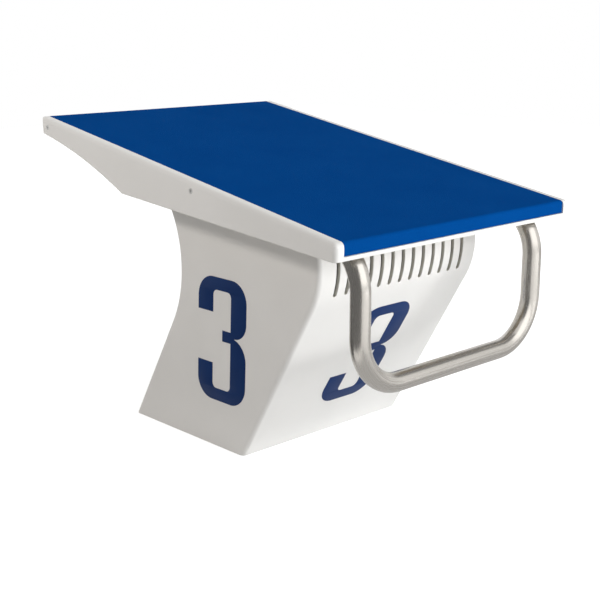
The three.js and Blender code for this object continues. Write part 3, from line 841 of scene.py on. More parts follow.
def plywood_material():
    """Sealed birch plywood: face grain along the board, and its plies at the edges"""
    material, graph, shader, place = new_material("sealed_plywood")
    on_board = graph.add(
        "ShaderNodeMapping",
        {"Vector": place, "Location": DECK.translation, "Rotation": (SLOPE, 0, 0)},
        vector_type="TEXTURE",
    )
    x, along, height = graph.parts(on_board)
    grain = graph.effect(
        BRUSHED, graph.whole(x, height, along), line_width=2.2 * MM, line_length=160 * MM
    )
    ply = BOARD_THICKNESS / PLY_COUNT
    layer = graph.spread(graph.math("PINGPONG", height, ply), *(ply * share for share in PLY_JOINT))
    normal = graph.add("ShaderNodeNewGeometry").outputs["Normal"]
    facing = graph.vector("DOT_PRODUCT", normal, tuple(TREAD_NORMAL)).outputs["Value"]
    on_edge = graph.spread(graph.math("ABSOLUTE", facing), *PLY_EDGE_FACING)
    face = graph.blend(grain, *PLYWOOD_FACE)
    edge = graph.blend(layer, *PLYWOOD_EDGE)
    graph.wire(shader, {
        "Base Color": graph.blend(on_edge, face, edge),
        "Roughness": graph.between(grain, *PLYWOOD_ROUGHNESS),
        "Normal": graph.bump(grain, depth=0.1 * MM, strength=0.5),
    })
    return material


# Pedestal
class Wall:
    """A pedestal wall in side view: it leans forward, turns upright in an arc and runs back"""

    def __init__(self, foot_y, radius, height, sweep, inward):
        self.y = foot_y + radius / cos(LEAN) - height * tan(LEAN)
        self.height = height
        self.radius = radius
        self.sweep = sweep
        self.inward = inward

    def at(self, z, inset):
        """How far back the wall lies at a height, this far in from its outside"""
        radius = self.radius + self.inward * inset
        low = self.height - radius * sin(LEAN)
        high = self.height + radius * sin(self.sweep)
        if z < low:
            return self.y - radius * cos(LEAN) + (low - z) * tan(LEAN)
        if z > high:
            return self.y - radius * cos(self.sweep) + (z - high) * tan(self.sweep)
        return self.y - sqrt(radius * radius - (z - self.height) ** 2)

    def top(self, inset, depth):
        """Height at which the wall meets a plane below the tread"""
        z = self.height
        for _ in range(WALL_TOP_ROUNDS):
            z = slope_height(self.at(z, inset), depth)
        return z

    def station(self, depth):
        """How far along the tread the wall's inner face meets the plane at a depth"""
        z = self.top(WALL, depth)
        return (self.at(z, WALL) - TREAD_LOW.y) / cos(SLOPE) - depth * tan(SLOPE)


FRONT = Wall(FOOT_Y, NOSE_RADIUS, NOSE_HEIGHT, NOSE_SWEEP, -1)
BACK = Wall(FOOT_Y + FOOT_DEPTH, WAIST_RADIUS, WAIST_HEIGHT, WAIST_SWEEP, 1)
BACK_SCALE = BACK.top(0, FLANGE_TOP) / FRONT.top(0, FLANGE_TOP)
FLAT_HALF = PEDESTAL_HALF - CORNER
FLANGE_FRONT = FRONT.station(FLANGE_BOTTOM)
FLANGE_BACK = BACK.station(STRIP_BOTTOM)
CLAMP_X = PEDESTAL_HALF - WALL - FLANGE_WIDTH / 2
CLAMP_STATIONS = [FLANGE_FRONT + (FLANGE_BACK - FLANGE_FRONT) * share for share in CLAMP_BOLT_SHARES]
ANCHOR_PLACES = [FOOT_Y + ANCHOR_END, FOOT_Y + FOOT_DEPTH - ANCHOR_END]

SLOT_BOTTOM = NOSE_HEIGHT - SLOT_BELOW_NOSE + SLOT_WIDTH / 2
SLOT_TOP = slope_height(FRONT.at(NOSE_HEIGHT, 0), FLANGE_BOTTOM) - SLOT_TOP_MARGIN - SLOT_WIDTH / 2
SLOT_PLACES = [(i - (SLOT_COUNT - 1) / 2) * SLOT_PITCH for i in range(SLOT_COUNT)]
CORNER_SHARE = tan(pi / 8)
FRAME_SHARES = (-1, -CORNER_SHARE, 0, CORNER_SHARE, 1)


def pedestal_columns():
    """Stations round the pedestal: a place across, a turn round the corner, and a share of the way back"""
    stops = [middle + SLOT_FRAME * share for middle in SLOT_PLACES for share in FRAME_SHARES]
    front = divided([-FLAT_HALF, *stops, FLAT_HALF], PEDESTAL_COLUMN_STEP)
    turns = quarter(PEDESTAL_CORNER_STEPS)[1:]
    ways = [i / PEDESTAL_SIDE_STEPS for i in range(1, PEDESTAL_SIDE_STEPS)]
    side = [(FLAT_HALF, turn, 0.0) for turn in turns]
    side += [(FLAT_HALF, pi / 2, way) for way in ways]
    side += [(FLAT_HALF, turn, 1.0) for turn in reversed(turns)]
    ring = [(x, 0.0, 0.0) for x in front] + side + [(x, 0.0, 1.0) for x in reversed(front)]
    return ring + [(-x, turn, way) for x, turn, way in reversed(side)]


def pedestal_levels():
    """Heights of the front wall's rows, through the slots' own rows"""
    slot_rows = [SLOT_BOTTOM + SLOT_FRAME * share for share in FRAME_SHARES[:3]]
    slot_rows += [SLOT_TOP + SLOT_FRAME * share for share in FRAME_SHARES[2:]]
    low = divided([FOOT_ROUNDING, PLAIN_WALL_HEIGHT], PLAIN_ROW_STEP)
    return low + divided([low[-1], *slot_rows], SLOT_ROW_STEP)[1:]


LEVELS = pedestal_levels()
REST_SHARES = (0.5, 1.0)
ROW_COUNT = len(LEVELS) + len(REST_SHARES)


def wall_point(column, level, depth, bottom=None, extra=0.0):
    """A point of the shell. level counts the rows up from the foot, and depth goes in from the outside."""
    x, turn, way = column
    side = 1 if x > 0 else -1
    plane = FLANGE_BOTTOM if depth else FLANGE_TOP
    inset = CORNER - (CORNER - depth) * cos(turn) + extra
    x += side * (CORNER - depth - extra) * sin(turn)

    def placed(wall, scale):
        if level < len(LEVELS):
            z = LEVELS[level] * scale if bottom is None else bottom
        else:
            last = LEVELS[-1] * scale
            z = last + (wall.top(inset, plane) - last) * REST_SHARES[level - len(LEVELS)]
        return Vector((x, wall.at(z, inset), z))

    return placed(FRONT, 1.0).lerp(placed(BACK, BACK_SCALE), way)


def flange_point(column, front, back):
    """A point round the opening in a flange, in the flange's own plane"""
    x, turn, way = column
    side = 1 if x > 0 else -1
    flat = PEDESTAL_HALF - WALL - FLANGE_WIDTH - FLANGE_CORNER
    x = side * (flat + FLANGE_CORNER * sin(turn)) if turn else x * flat / FLAT_HALF
    inset = FLANGE_CORNER - FLANGE_CORNER * cos(turn)
    low, high = front + inset, back - inset
    return x, low + (high - low) * way


def pedestal_rings(columns):
    """The closed profile of the shell, as one ring of points for each of its corners and rows. It also
    gives which ring each row of the outer and of the inner skin is."""
    foot = [flange_point(column, FOOT_Y + FLANGE_WIDTH, FOOT_Y + FOOT_DEPTH - FLANGE_WIDTH)
            for column in columns]
    top = [flange_point(column, FLANGE_FRONT + FLANGE_WIDTH, FLANGE_BACK - FLANGE_WIDTH)
           for column in columns]
    edge = FOOT_ROUNDING * (1 - cos(pi / 4))
    rings = [
        [wall_point(column, 0, 0.0, 0.0, FOOT_ROUNDING) for column in columns],
        [wall_point(column, 0, 0.0, edge, edge) for column in columns],
    ]
    outer = {level: len(rings) + level for level in range(ROW_COUNT)}
    rings += [[wall_point(column, level, 0.0) for column in columns] for level in outer]
    rings += [[DECK @ Vector((x, y, -depth)) for x, y in top] for depth in (FLANGE_TOP, FLANGE_BOTTOM)]
    inner = {level: len(rings) + i for i, level in enumerate(range(ROW_COUNT - 1, -1, -1))}
    rings += [[wall_point(column, level, WALL) for column in columns] for level in inner if level]
    rings.append([wall_point(column, 0, WALL, FLANGE) for column in columns])
    rings += [[Vector((x, y, z)) for x, y in foot] for z in (FLANGE, 0.0)]
    return rings, outer, inner


def key(value):
    return round(value, KEY_DIGITS)


def slot_loop(middle, radius, rows):
    """Places round a slot, or round its square frame if radius is None, and their rows"""
    def reach(turn):
        return SLOT_FRAME / max(abs(cos(turn)), abs(sin(turn))) if radius is None else radius

    def end(start, z):
        turns = [start + pi * i / SLOT_END_STEPS for i in range(SLOT_END_STEPS + 1)]
        return [(middle + reach(turn) * cos(turn), z + reach(turn) * sin(turn)) for turn in turns]

    half = SLOT_FRAME if radius is None else radius
    up = [(middle + half, z) for z in rows]
    down = [(middle - half, z) for z in reversed(rows)]
    return end(pi, SLOT_BOTTOM) + up + end(0, SLOT_TOP) + down


def pedestal_mesh():
    """The two skins of the shell, open at the slots and joined through them"""
    columns = pedestal_columns()
    count = len(columns)
    rings, outer, inner = pedestal_rings(columns)
    work = bmesh.new()
    verts = [[work.verts.new(point) for point in ring] for ring in rings]
    column_at = {key(x): i for i, (x, turn, way) in enumerate(columns) if way == 0 and turn == 0}
    level_at = {key(z): i for i, z in enumerate(LEVELS)}
    first = level_at[key(SLOT_BOTTOM - SLOT_FRAME)]
    last = level_at[key(SLOT_TOP + SLOT_FRAME)]
    open_rings = {outer[level] for level in range(first, last)}
    open_rings |= {inner[level] for level in range(first + 1, last + 1)}
    open_columns = {
        column_at[key(middle + SLOT_FRAME * share)] for middle in SLOT_PLACES for share in FRAME_SHARES[:-1]
    }
    for i, low in enumerate(verts):
        high = verts[(i + 1) % len(verts)]
        for j in range(count):
            if i not in open_rings or j not in open_columns:
                work.faces.new((low[j], low[(j + 1) % count], high[(j + 1) % count], high[j]))
    for skin_rows in (outer, inner):
        for level in range(first + 1, last):
            for vert in verts[skin_rows[level]]:
                if not vert.link_faces:
                    work.verts.remove(vert)
    rows = [z for z in LEVELS if SLOT_BOTTOM + SAME_POINT < z < SLOT_TOP - SAME_POINT]
    for middle in SLOT_PLACES:
        square = [(level_at[key(z)], column_at[key(x)]) for x, z in slot_loop(middle, None, rows)]
        frames = [[verts[skin_rows[level]][column] for level, column in square]
                  for skin_rows in (outer, inner)]
        add_slot(work, middle, rows, *frames)
    bmesh.ops.recalc_face_normals(work, faces=work.faces)
    return mesh_from(work, "pedestal")


def add_slot(work, middle, rows, outer_frame, inner_frame):
    """Joins the outer skin to the inner one through one slot with rounded mouths"""
    def mouth(depth, way, turns):
        rings = []
        for turn in turns:
            loop = slot_loop(middle, SLOT_WIDTH / 2 + SLOT_ROUNDING * (1 - sin(turn)), rows)
            lift = way * SLOT_ROUNDING * (1 - cos(turn))
            rings.append([work.verts.new((x, FRONT.at(z, depth) + lift, z)) for x, z in loop])
        return rings

    turns = quarter(SLOT_MOUTH_STEPS)
    skin(work, [outer_frame, *mouth(0, 1, turns), *mouth(WALL, -1, reversed(turns)), inner_frame])


def inside_pedestal(middle):
    x, y, z = middle
    depth = min(PEDESTAL_HALF - abs(x), y - FRONT.at(z, 0), BACK.at(z, 0) - y)
    return depth > WALL / 2 and z > FIT_GAP


def make_pedestal(gelcoat, laminate):
    thing = link("pedestal", pedestal_mesh())
    cutters = []
    for _, side in SIDES:
        for y in ANCHOR_PLACES:
            cutters.append(drill(side * CLAMP_X, y, ANCHOR_RADIUS, -OVERRUN, OVERRUN))
        for station in CLAMP_STATIONS:
            cutters.append(drill(side * CLAMP_X, station, BOLT_HOLE, -STRIP_BOTTOM, 0, DECK))
    cut(thing, cutters)
    flat_lit(thing)
    finish_piece(thing, "pedestal", ["pedestal_shell"], [gelcoat, laminate])
    paint_inside(thing, inside_pedestal)


# Platform
PLATFORM_HALF = PLATFORM_HIGH.x
LIP_Y = PLATFORM_LOW.y
LIP_BOTTOM = PLATFORM_LOW.z
TAIL_Y = PLATFORM_HIGH.y
PAD_BACK_Y = TREAD_LOW.y + PAD_THICKNESS
FRONT_WALL_BACK = PAD_BACK_Y + FIT_GAP + FRONT_WALL
SCREW_FACE = PLATFORM_HALF - SCREW_SINK
SCREW_STATIONS = [SCREW_SETBACK, (TAIL_Y - TREAD_LOW.y) / cos(SLOPE) - SCREW_TAIL_MARGIN]


def skirt_edge(inset):
    """The skirt's lower edge: level to its knee, then up the thin tail in a shallow arc"""
    knee = Vector((TREAD_LOW.y + KNEE_DISTANCE, 0))
    knee.y = slope_height(knee.x) - KNEE_DEPTH
    tail = Vector((TAIL_Y, slope_height(TAIL_Y) - TAIL_DEPTH))
    chord = tail - knee
    radius = chord.length_squared / (TAIL_SAG * 8) + TAIL_SAG / 2
    way = chord.normalized()
    centre = (knee + tail) / 2 + Vector((way.y, -way.x)) * (radius - TAIL_SAG)
    points = [(LIP_Y + inset, LIP_BOTTOM)]
    for i in range(SKIRT_STEPS + 1):
        y = knee.x + (TAIL_Y - inset - knee.x) * i / SKIRT_STEPS
        points.append((y, centre.y + sqrt(radius * radius - (y - centre.x) ** 2)))
    return points


def platform_outline(inset):
    centre_y = LIP_Y + LIP_RADIUS
    centre_z = slope_height(centre_y, LIP_RADIUS)
    nose = arc(centre_y, centre_z, LIP_RADIUS - inset, pi / 2 + SLOPE, pi, NOSE_STEPS)
    back = TAIL_Y - inset
    return [(back, slope_height(back, inset)), *nose, *skirt_edge(inset)]


def pad_bed(_):
    """The room above the platform's skin and in front of its front wall, where the tread lies"""
    ledge = LIP_BOTTOM + LIP_HEIGHT - FIT_GAP
    back = PAD_BACK_Y + FIT_GAP
    far = TAIL_Y + OVERRUN
    high = slope_height(far) + OVERRUN
    return [
        (LIP_Y - OVERRUN, ledge),
        (back, ledge),
        (back, slope_height(back, SKIN_TOP)),
        (far, slope_height(far, SKIN_TOP)),
        (far, high),
        (LIP_Y - OVERRUN, high),
    ]


def hollow(_):
    """The room under the platform's skin, between its walls"""
    back = TAIL_Y - TAIL_WALL
    return [
        (FRONT_WALL_BACK, LIP_BOTTOM - OVERRUN),
        (FRONT_WALL_BACK, slope_height(FRONT_WALL_BACK, SKIN_BOTTOM)),
        (back, slope_height(back, SKIN_BOTTOM)),
        (back, LIP_BOTTOM - OVERRUN),
    ]


def screw_place(side, station):
    """Where a cover screw's head faces out of the skirt"""
    return DECK @ Vector((side * SCREW_FACE, station, -SCREW_DEPTH))


def countersink(side, station):
    """A cutter for a cover screw's head and shank"""
    head = SCREW_HEAD_RADIUS + FIT_GAP
    shank = SCREW_RADIUS + FIT_GAP
    profile = [(0, -SCREW_LENGTH), (shank, -SCREW_LENGTH), (shank, -SCREW_HEAD_HEIGHT)]
    profile += [(head, 0), (head, OVERRUN), (0, OVERRUN)]
    work = bmesh.new()
    verts = [work.verts.new((radius, 0, height)) for radius, height in profile]
    edges = [work.edges.new(pair) for pair in zip(verts, verts[1:])]
    bmesh.ops.spin(
        work, geom=verts + edges, cent=(0, 0, 0), axis=(0, 0, 1), angle=2 * pi, steps=CUTTER_SIDES,
        use_merge=True,
    )
    mesh = clean(mesh_from(work, "countersink"))
    facing = Matrix.Rotation(side * pi / 2, 4, "Y")
    mesh.transform(Matrix.Translation(screw_place(side, station)) @ facing)
    return link("countersink", mesh)


def inside_platform(middle):
    return (
        abs(middle.x) < PLATFORM_HALF - SKIRT_THICKNESS + FIT_GAP
        and middle.z < slope_height(middle.y, SKIN_BOTTOM - FIT_GAP)
        and FRONT_WALL_BACK - FIT_GAP < middle.y < TAIL_Y - TAIL_WALL + FIT_GAP
    )


def make_platform(gelcoat, laminate):
    thing = across("platform", platform_outline, PLATFORM_HALF, RIM_RADIUS)
    bed = across("bed", pad_bed, TREAD_HIGH.x + FIT_GAP)
    room = across("hollow", hollow, PLATFORM_HALF - SKIRT_THICKNESS)
    cut(thing, [bed, room])
    rounded(thing, PLATFORM_EDGE)
    cut(thing, [countersink(side, station) for _, side in SIDES for station in SCREW_STATIONS])
    flat_lit(thing)
    finish_piece(thing, "platform", ["platform_shell"], [gelcoat, laminate])
    paint_inside(thing, inside_platform)


def tread_outline(_):
    centre_y = TREAD_LOW.y + PAD_NOSE_RADIUS
    centre_z = slope_height(centre_y, PAD_NOSE_RADIUS)
    return [
        (TREAD_LOW.y, LIP_BOTTOM + LIP_HEIGHT),
        *arc(centre_y, centre_z, PAD_NOSE_RADIUS, pi, pi / 2 + SLOPE, NOSE_STEPS),
        (TAIL_Y, slope_height(TAIL_Y)),
        (TAIL_Y, slope_height(TAIL_Y, PAD_THICKNESS)),
        (PAD_BACK_Y, slope_height(PAD_BACK_Y, PAD_THICKNESS)),
        (PAD_BACK_Y, LIP_BOTTOM + LIP_HEIGHT),
    ]


def make_tread(grip):
    thing = across("tread", tread_outline, TREAD_HIGH.x)
    rounded(thing, PAD_EDGE)
    finish_piece(thing, "tread", ["tread_pad"], [grip])


# Hand rail
RAIL_SIZES = ("Radius", "Bore", "Bend Radius")
RAIL_OTHERS = {"Sides": "Int", "Block Middle": "Vector", "Block Turn": "Rotation"}


def rail_route():
    """The bent bar's corners, from one end to the other"""
    leg_y = TREAD_LOW.y + RAIL_SETBACK
    bar_z = TREAD_FRONT_Z - RAIL_DROP
    bend_z = TREAD_FRONT_Z - RAIL_TOP_DROP
    reach = BEND_RADIUS * tan(RAIL_TOP_SWEEP / 2)
    corner = Vector((RAIL_X, leg_y, bend_z + reach))
    run = Vector((0, sin(RAIL_TOP_SWEEP), cos(RAIL_TOP_SWEEP))) * (reach + RAIL_TOP_RUN)
    half = [Vector((RAIL_X, leg_y, bar_z)), corner, corner + run]
    return [Vector((-x, y, z)) for x, y, z in reversed(half)] + half


def bent_bar_tree():
    """A round bar along a route with equal bends. It keeps where each point lies on the straight bar."""
    graph, given = new_tree(
        "bent_bar", "GeometryNodeTree",
        {"Route": "Geometry", "Radius": "Float", "Bend Radius": "Float", "Sides": "Int"},
        {"Geometry": "Geometry"},
    )
    bent = graph.add(
        "GeometryNodeFilletCurve",
        {"Curve": graph.add("GeometryNodeMeshToCurve", {0: given["Route"]}),
         "Radius": given["Bend Radius"], "Count": BEND_STEPS},
        mode="POLY",
    )
    length = graph.add("GeometryNodeSplineParameter").outputs["Length"]
    line = graph.noted(bent, "along", length, "FLOAT")
    section = graph.ring(given["Sides"], given["Radius"])
    section = graph.noted(section, "ring", graph.add("GeometryNodeInputPosition"), "FLOAT_VECTOR")
    bar = graph.add(
        "GeometryNodeCurveToMesh", {"Curve": line, "Profile Curve": section, "Fill Caps": True}
    )
    graph.add("NodeGroupOutput", {0: bar})
    return graph.tree


def bent_bar(graph, tree, given, radius):
    return graph.add(
        "GeometryNodeGroup",
        {"Route": given["Geometry"], "Radius": radius, "Bend Radius": given["Bend Radius"],
         "Sides": given["Sides"]},
        node_tree=tree,
    )


def above_seat(graph, given):
    """A block that fills the room above the plane that the rail's ends are cut to"""
    return graph.add("GeometryNodeTransform", {
        "Geometry": graph.add("GeometryNodeMeshCube", {"Size": SEAT_BLOCK}),
        "Translation": given["Block Middle"], "Rotation": given["Block Turn"],
    })


def hand_rail_tree(bar_tree):
    """A bent tube with its ends cut flat where they meet the foot plates"""
    graph, given = new_shape("hand_rail", RAIL_SIZES, RAIL_OTHERS)
    bar = bent_bar(graph, bar_tree, given, given["Radius"])
    bore = bent_bar(graph, bar_tree, given, given["Bore"])
    tube = graph.boolean("DIFFERENCE", {0: bar, 1: [bore, above_seat(graph, given)]})
    for label, kind in (("ring", "FLOAT_VECTOR"), ("along", "FLOAT")):
        named = graph.add("GeometryNodeInputNamedAttribute", {"Name": label}, data_type=kind)
        near = graph.add("GeometryNodeSampleNearestSurface", {"Mesh": bar, "Value": named}, data_type=kind)
        tube = graph.noted(tube, label, near, kind)
    return finished_tree(graph, tube, given)


def weld_tree(bar_tree):
    """A rippled weld bead round each end of the bar, where it meets its foot plate"""
    sizes = (*RAIL_SIZES, "Bead Radius", "Ripple", "Ripple Spacing")
    graph, given = new_shape("weld_beads", sizes, RAIL_OTHERS)
    bar = bent_bar(graph, bar_tree, given, given["Radius"])
    trimmed = graph.boolean("DIFFERENCE", {0: bar, 1: [above_seat(graph, given)]})
    angle = graph.add("GeometryNodeInputMeshEdgeAngle").outputs["Unsigned Angle"]
    sharp = graph.math("GREATER_THAN", angle, WELD_SEAM_ANGLE)
    seam = graph.add("GeometryNodeMeshToCurve", {"Mesh": trimmed, "Selection": sharp})
    even = graph.add("GeometryNodeResampleCurve", {"Curve": seam, "Count": WELD_POINTS}, mode="COUNT")
    walked = graph.add("GeometryNodeSplineParameter").outputs["Length"]
    turns = graph.math("MULTIPLY", graph.math("DIVIDE", walked, given["Ripple Spacing"]), pi)
    wave = graph.math("MULTIPLY", graph.math("ABSOLUTE", graph.math("SINE", turns)), given["Ripple"])
    bead = graph.add("GeometryNodeCurveToMesh", {
        "Curve": even, "Profile Curve": graph.ring(WELD_SIDES, given["Bead Radius"]),
        "Scale": graph.math("ADD", 1.0, wave),
    })
    return finished_tree(graph, bead, given)


def make_rail(steel):
    bar_tree = bent_bar_tree()
    seat = DECK @ Vector((0, FOOT_PLATE_SETBACK, -PLATE_BOTTOM - FIT_GAP))
    values = {
        "Radius": TUBE_RADIUS, "Bore": TUBE_RADIUS - TUBE_WALL, "Bend Radius": BEND_RADIUS,
        "Sides": TUBE_SIDES, "Block Middle": tuple(seat + TREAD_NORMAL * (SEAT_BLOCK[2] / 2)),
        "Block Turn": (SLOPE, 0.0, 0.0), "Bead Radius": WELD_RADIUS, "Ripple": WELD_RIPPLE,
        "Ripple Spacing": WELD_RIPPLE_SPACING, "Material": steel,
    }
    tube = grown("rail", hand_rail_tree(bar_tree), points_mesh(rail_route(), True), values)
    beads = grown("welds", weld_tree(bar_tree), points_mesh(rail_route(), True), values)
    finish_piece(link("rail", smooth(tube)), "rail", ["rail_tube"], [steel])
    finish_piece(link("welds", smooth(beads, WELD_SMOOTH_ANGLE)), "rail_welds", [], [steel])


# Plates and strips, in the tread's frame or flat on the deck
def make_plates(steel, fastener):
    foot_place = (RAIL_X, FOOT_PLATE_SETBACK + FOOT_PLATE / 2)
    bolt_holes = [circle(side * RAIL_BOLT_SPACING / 2, 0, BOLT_HOLE) for _, side in SIDES]
    backing = FOOT_PLATE - 2 * BACKING_MARGIN
    clamp_length = FLANGE_BACK - FLANGE_FRONT - 2 * CLAMP_END
    clamp_middle = (FLANGE_BACK + FLANGE_FRONT) / 2
    strip_length = FOOT_DEPTH - 2 * FOOT_STRIP_END
    strip_middle = FOOT_Y + FOOT_DEPTH / 2
    for label, side in SIDES:
        kinds = (
            ("foot_plate", "rail_foot", steel, "stainless", DECK, foot_place,
             rounded_rectangle(FOOT_PLATE, FOOT_PLATE, FOOT_PLATE_CORNER), bolt_holes,
             (-PLATE_BOTTOM, -FLANGE_TOP)),
            ("backing_plate", "rail_backing", fastener, "fastener_steel", DECK, foot_place,
             rounded_rectangle(backing, backing, FOOT_PLATE_CORNER), bolt_holes,
             (-BOARD_TOP - BACKING_THICKNESS, -BOARD_TOP)),
            ("clamp_bar", "clamp_strip", fastener, "fastener_steel", DECK, (CLAMP_X, clamp_middle),
             rounded_rectangle(CLAMP_WIDTH, clamp_length, STRIP_CORNER),
             [circle(0, y - clamp_middle, BOLT_RADIUS + FIT_GAP) for y in CLAMP_STATIONS],
             (-STRIP_BOTTOM, -STRIP_TOP)),
            ("anchor_bar", "foot_strip", steel, "stainless", Matrix(), (CLAMP_X, strip_middle),
             rounded_rectangle(CLAMP_WIDTH, strip_length, STRIP_CORNER),
             [circle(0, y - strip_middle, ANCHOR_RADIUS) for y in ANCHOR_PLACES],
             (FLANGE + FIT_GAP, FLANGE + FIT_GAP + CLAMP_THICKNESS)),
        )
        for name, node, material, slot, placed, (x, y), outline, holes, (bottom, top) in kinds:
            mesh = plate_mesh(outline, holes, bottom, top, PLATE_EDGE)
            mesh.transform(placed @ Matrix.Translation((side * x, y, 0)))
            plate = flat_lit(link(name, mesh))
            finish_piece(plate, f"{name}_{label}", [f"{node}_{label}"], [material])


# Fasteners
def hex_bolt_tree():
    """Hexagon bolts with washers, pointing up out of each given point"""
    graph, given = new_shape("hex_bolts", (
        "Head Radius", "Head Height", "Shank Radius", "Shank Length",
        "Washer Radius", "Washer Thickness", "Gap",
    ))
    height = given["Head Height"]
    head_middle = graph.math("MULTIPLY", height, -0.5)
    flat = graph.math("MULTIPLY", given["Head Radius"], cos(pi / HEXAGON))
    cone = graph.add("GeometryNodeMeshCone", {
        "Vertices": HEAD_SIDES, "Depth": height,
        "Radius Top": graph.math("ADD", flat, graph.math("MULTIPLY", height, 1 / tan(CHAMFER_ANGLE))),
        "Radius Bottom": graph.math("MULTIPLY", flat, CHAMFER_SHARE),
    })
    hexagon = graph.cylinder(HEXAGON, given["Head Radius"], height)
    head = graph.boolean("INTERSECT", {1: [hexagon, graph.lifted(cone, head_middle)]})
    shank = graph.cylinder(SHANK_SIDES, given["Shank Radius"], given["Shank Length"])
    thickness = given["Washer Thickness"]
    bore = graph.math("ADD", given["Shank Radius"], given["Gap"])
    hole = graph.cylinder(SHANK_SIDES, bore, graph.math("MULTIPLY", thickness, HOLE_REACH))
    disc = graph.cylinder(HEAD_SIDES, given["Washer Radius"], thickness)
    washer = graph.boolean("DIFFERENCE", {0: disc, 1: [hole]})
    washer_middle = graph.math("ADD", graph.math("MULTIPLY", thickness, 0.5), given["Gap"])
    bolt = graph.add("GeometryNodeJoinGeometry", {0: [
        graph.lifted(head, head_middle),
        graph.lifted(shank, graph.math("MULTIPLY", given["Shank Length"], 0.5)),
        graph.lifted(washer, washer_middle),
    ]})
    return repeated_tree(graph, bolt, given)


def by_index(graph, values):
    """A value for each point of a short line"""
    node = graph.add("GeometryNodeIndexSwitch", data_type="FLOAT")
    while len(node.index_switch_items) < len(values):
        node.index_switch_items.new()
    graph.wire(node, {0: graph.add("GeometryNodeInputIndex")})
    return graph.wire(node, {i + 1: value for i, value in enumerate(values)})


def countersunk_tree():
    """Countersunk screws with a cross slot or a hexagon socket, along +Z out of each given point"""
    graph, given = new_shape("countersunk_screws", (
        "Head Radius", "Head Height", "Rim", "Shank Radius", "Length",
        "Socket Radius", "Socket Depth", "Slot Width", "Slot Length",
    ), {"Turn": "Rotation"})
    depths = [given["Length"], given["Head Height"], given["Rim"], 0.0]
    radii = [given[part + " Radius"] for part in ("Shank", "Shank", "Head", "Head")]
    place = graph.whole(z=graph.math("MULTIPLY", by_index(graph, depths), -1.0))
    line = graph.add("GeometryNodeMeshLine", {"Count": len(depths)})
    line = graph.add("GeometryNodeSetPosition", {"Geometry": line, "Position": place})
    whole = graph.add("GeometryNodeCurveToMesh", {
        "Curve": graph.add("GeometryNodeMeshToCurve", {"Mesh": line}), "Fill Caps": True,
        "Profile Curve": graph.ring(SCREW_SIDES, 1.0), "Scale": by_index(graph, radii),
    })
    socket_height = graph.math("MULTIPLY", given["Socket Depth"], SOCKET_REACH)
    socket = graph.cylinder(HEXAGON, given["Socket Radius"], socket_height)
    slot_height = graph.math("MULTIPLY", given["Socket Depth"], SLOT_REACH)
    slots = [
        graph.add("GeometryNodeMeshCube", {"Size": graph.whole(given[a], given[b], slot_height)})
        for a, b in (("Slot Width", "Slot Length"), ("Slot Length", "Slot Width"))
    ]
    driven = graph.boolean("DIFFERENCE", {0: whole, 1: [socket, *slots]})
    return repeated_tree(graph, driven, given, given["Turn"])


def make_fasteners(fastener):
    head_top = PLATE_BOTTOM + FIT_GAP + WASHER_THICKNESS + FIT_GAP
    foot_middle = FOOT_PLATE_SETBACK + FOOT_PLATE / 2
    rail_bolts = [
        (side * RAIL_X + spot * RAIL_BOLT_SPACING / 2, foot_middle, -head_top)
        for _, side in SIDES for spot in (-1, 1)
    ]
    bolts = grown("rail_bolts", hex_bolt_tree(), points_mesh(rail_bolts), {
        "Head Radius": HEX_RADIUS, "Head Height": HEX_HEIGHT, "Shank Radius": BOLT_RADIUS,
        "Shank Length": head_top - BOARD_TOP - FIT_GAP, "Washer Radius": WASHER_RADIUS,
        "Washer Thickness": WASHER_THICKNESS, "Gap": FIT_GAP, "Material": fastener,
    })
    clean(bolts, SAME_FASTENER_POINT).transform(DECK)
    nodes = [f"rail_{kind}_{label}_{spot}" for kind in ("bolt", "washer")
             for label, _ in SIDES for spot in ("outer", "inner")]
    finish_piece(link("rail_bolts", smooth(bolts)), "rail_bolts", nodes, [fastener])

    tree = countersunk_tree()
    clamp_places = [(side * CLAMP_X, y, -BOARD_TOP) for _, side in SIDES for y in CLAMP_STATIONS]
    # A clamp bolt's cross is smaller than its socket, so only the socket shows
    clamps = grown("clamp_bolts", tree, points_mesh(clamp_places), {
        "Head Radius": COUNTERSINK_RADIUS, "Head Height": COUNTERSINK_HEIGHT + COUNTERSINK_RIM,
        "Rim": COUNTERSINK_RIM, "Shank Radius": BOLT_RADIUS,
        "Length": STRIP_BOTTOM + BOLT_TAIL - BOARD_TOP, "Socket Radius": SOCKET_RADIUS,
        "Socket Depth": SOCKET_DEPTH, "Slot Width": SOCKET_RADIUS / 2, "Slot Length": SOCKET_RADIUS,
        "Turn": (0.0, 0.0, 0.0), "Material": fastener,
    })
    clean(clamps, SAME_FASTENER_POINT).transform(DECK)
    nodes = [f"clamp_bolt_{label}_{i}" for label, _ in SIDES for i in (1, 2, 3)]
    finish_piece(link("clamp_bolts", smooth(clamps)), "clamp_bolts", nodes, [fastener])

    meshes = []
    for _, side in SIDES:
        places = [screw_place(side, station) for station in SCREW_STATIONS]
        mesh = grown("cover_screws", tree, points_mesh(places), {
            "Head Radius": SCREW_HEAD_RADIUS, "Head Height": SCREW_HEAD_HEIGHT, "Rim": SCREW_SINK,
            "Shank Radius": SCREW_RADIUS, "Length": SCREW_LENGTH, "Socket Radius": CROSS_PIT_RADIUS,
            "Socket Depth": CROSS_DEPTH, "Slot Width": CROSS_WIDTH, "Slot Length": CROSS_LENGTH,
            "Turn": (0.0, side * pi / 2, 0.0), "Material": fastener,
        })
        meshes.append(smooth(clean(mesh, SAME_FASTENER_POINT)))
    nodes = [f"cover_screw_{label}_{i}" for label, _ in SIDES for i in (1, 2)]
    finish_piece(joined("cover_screws", meshes), "cover_screws", nodes, [fastener])


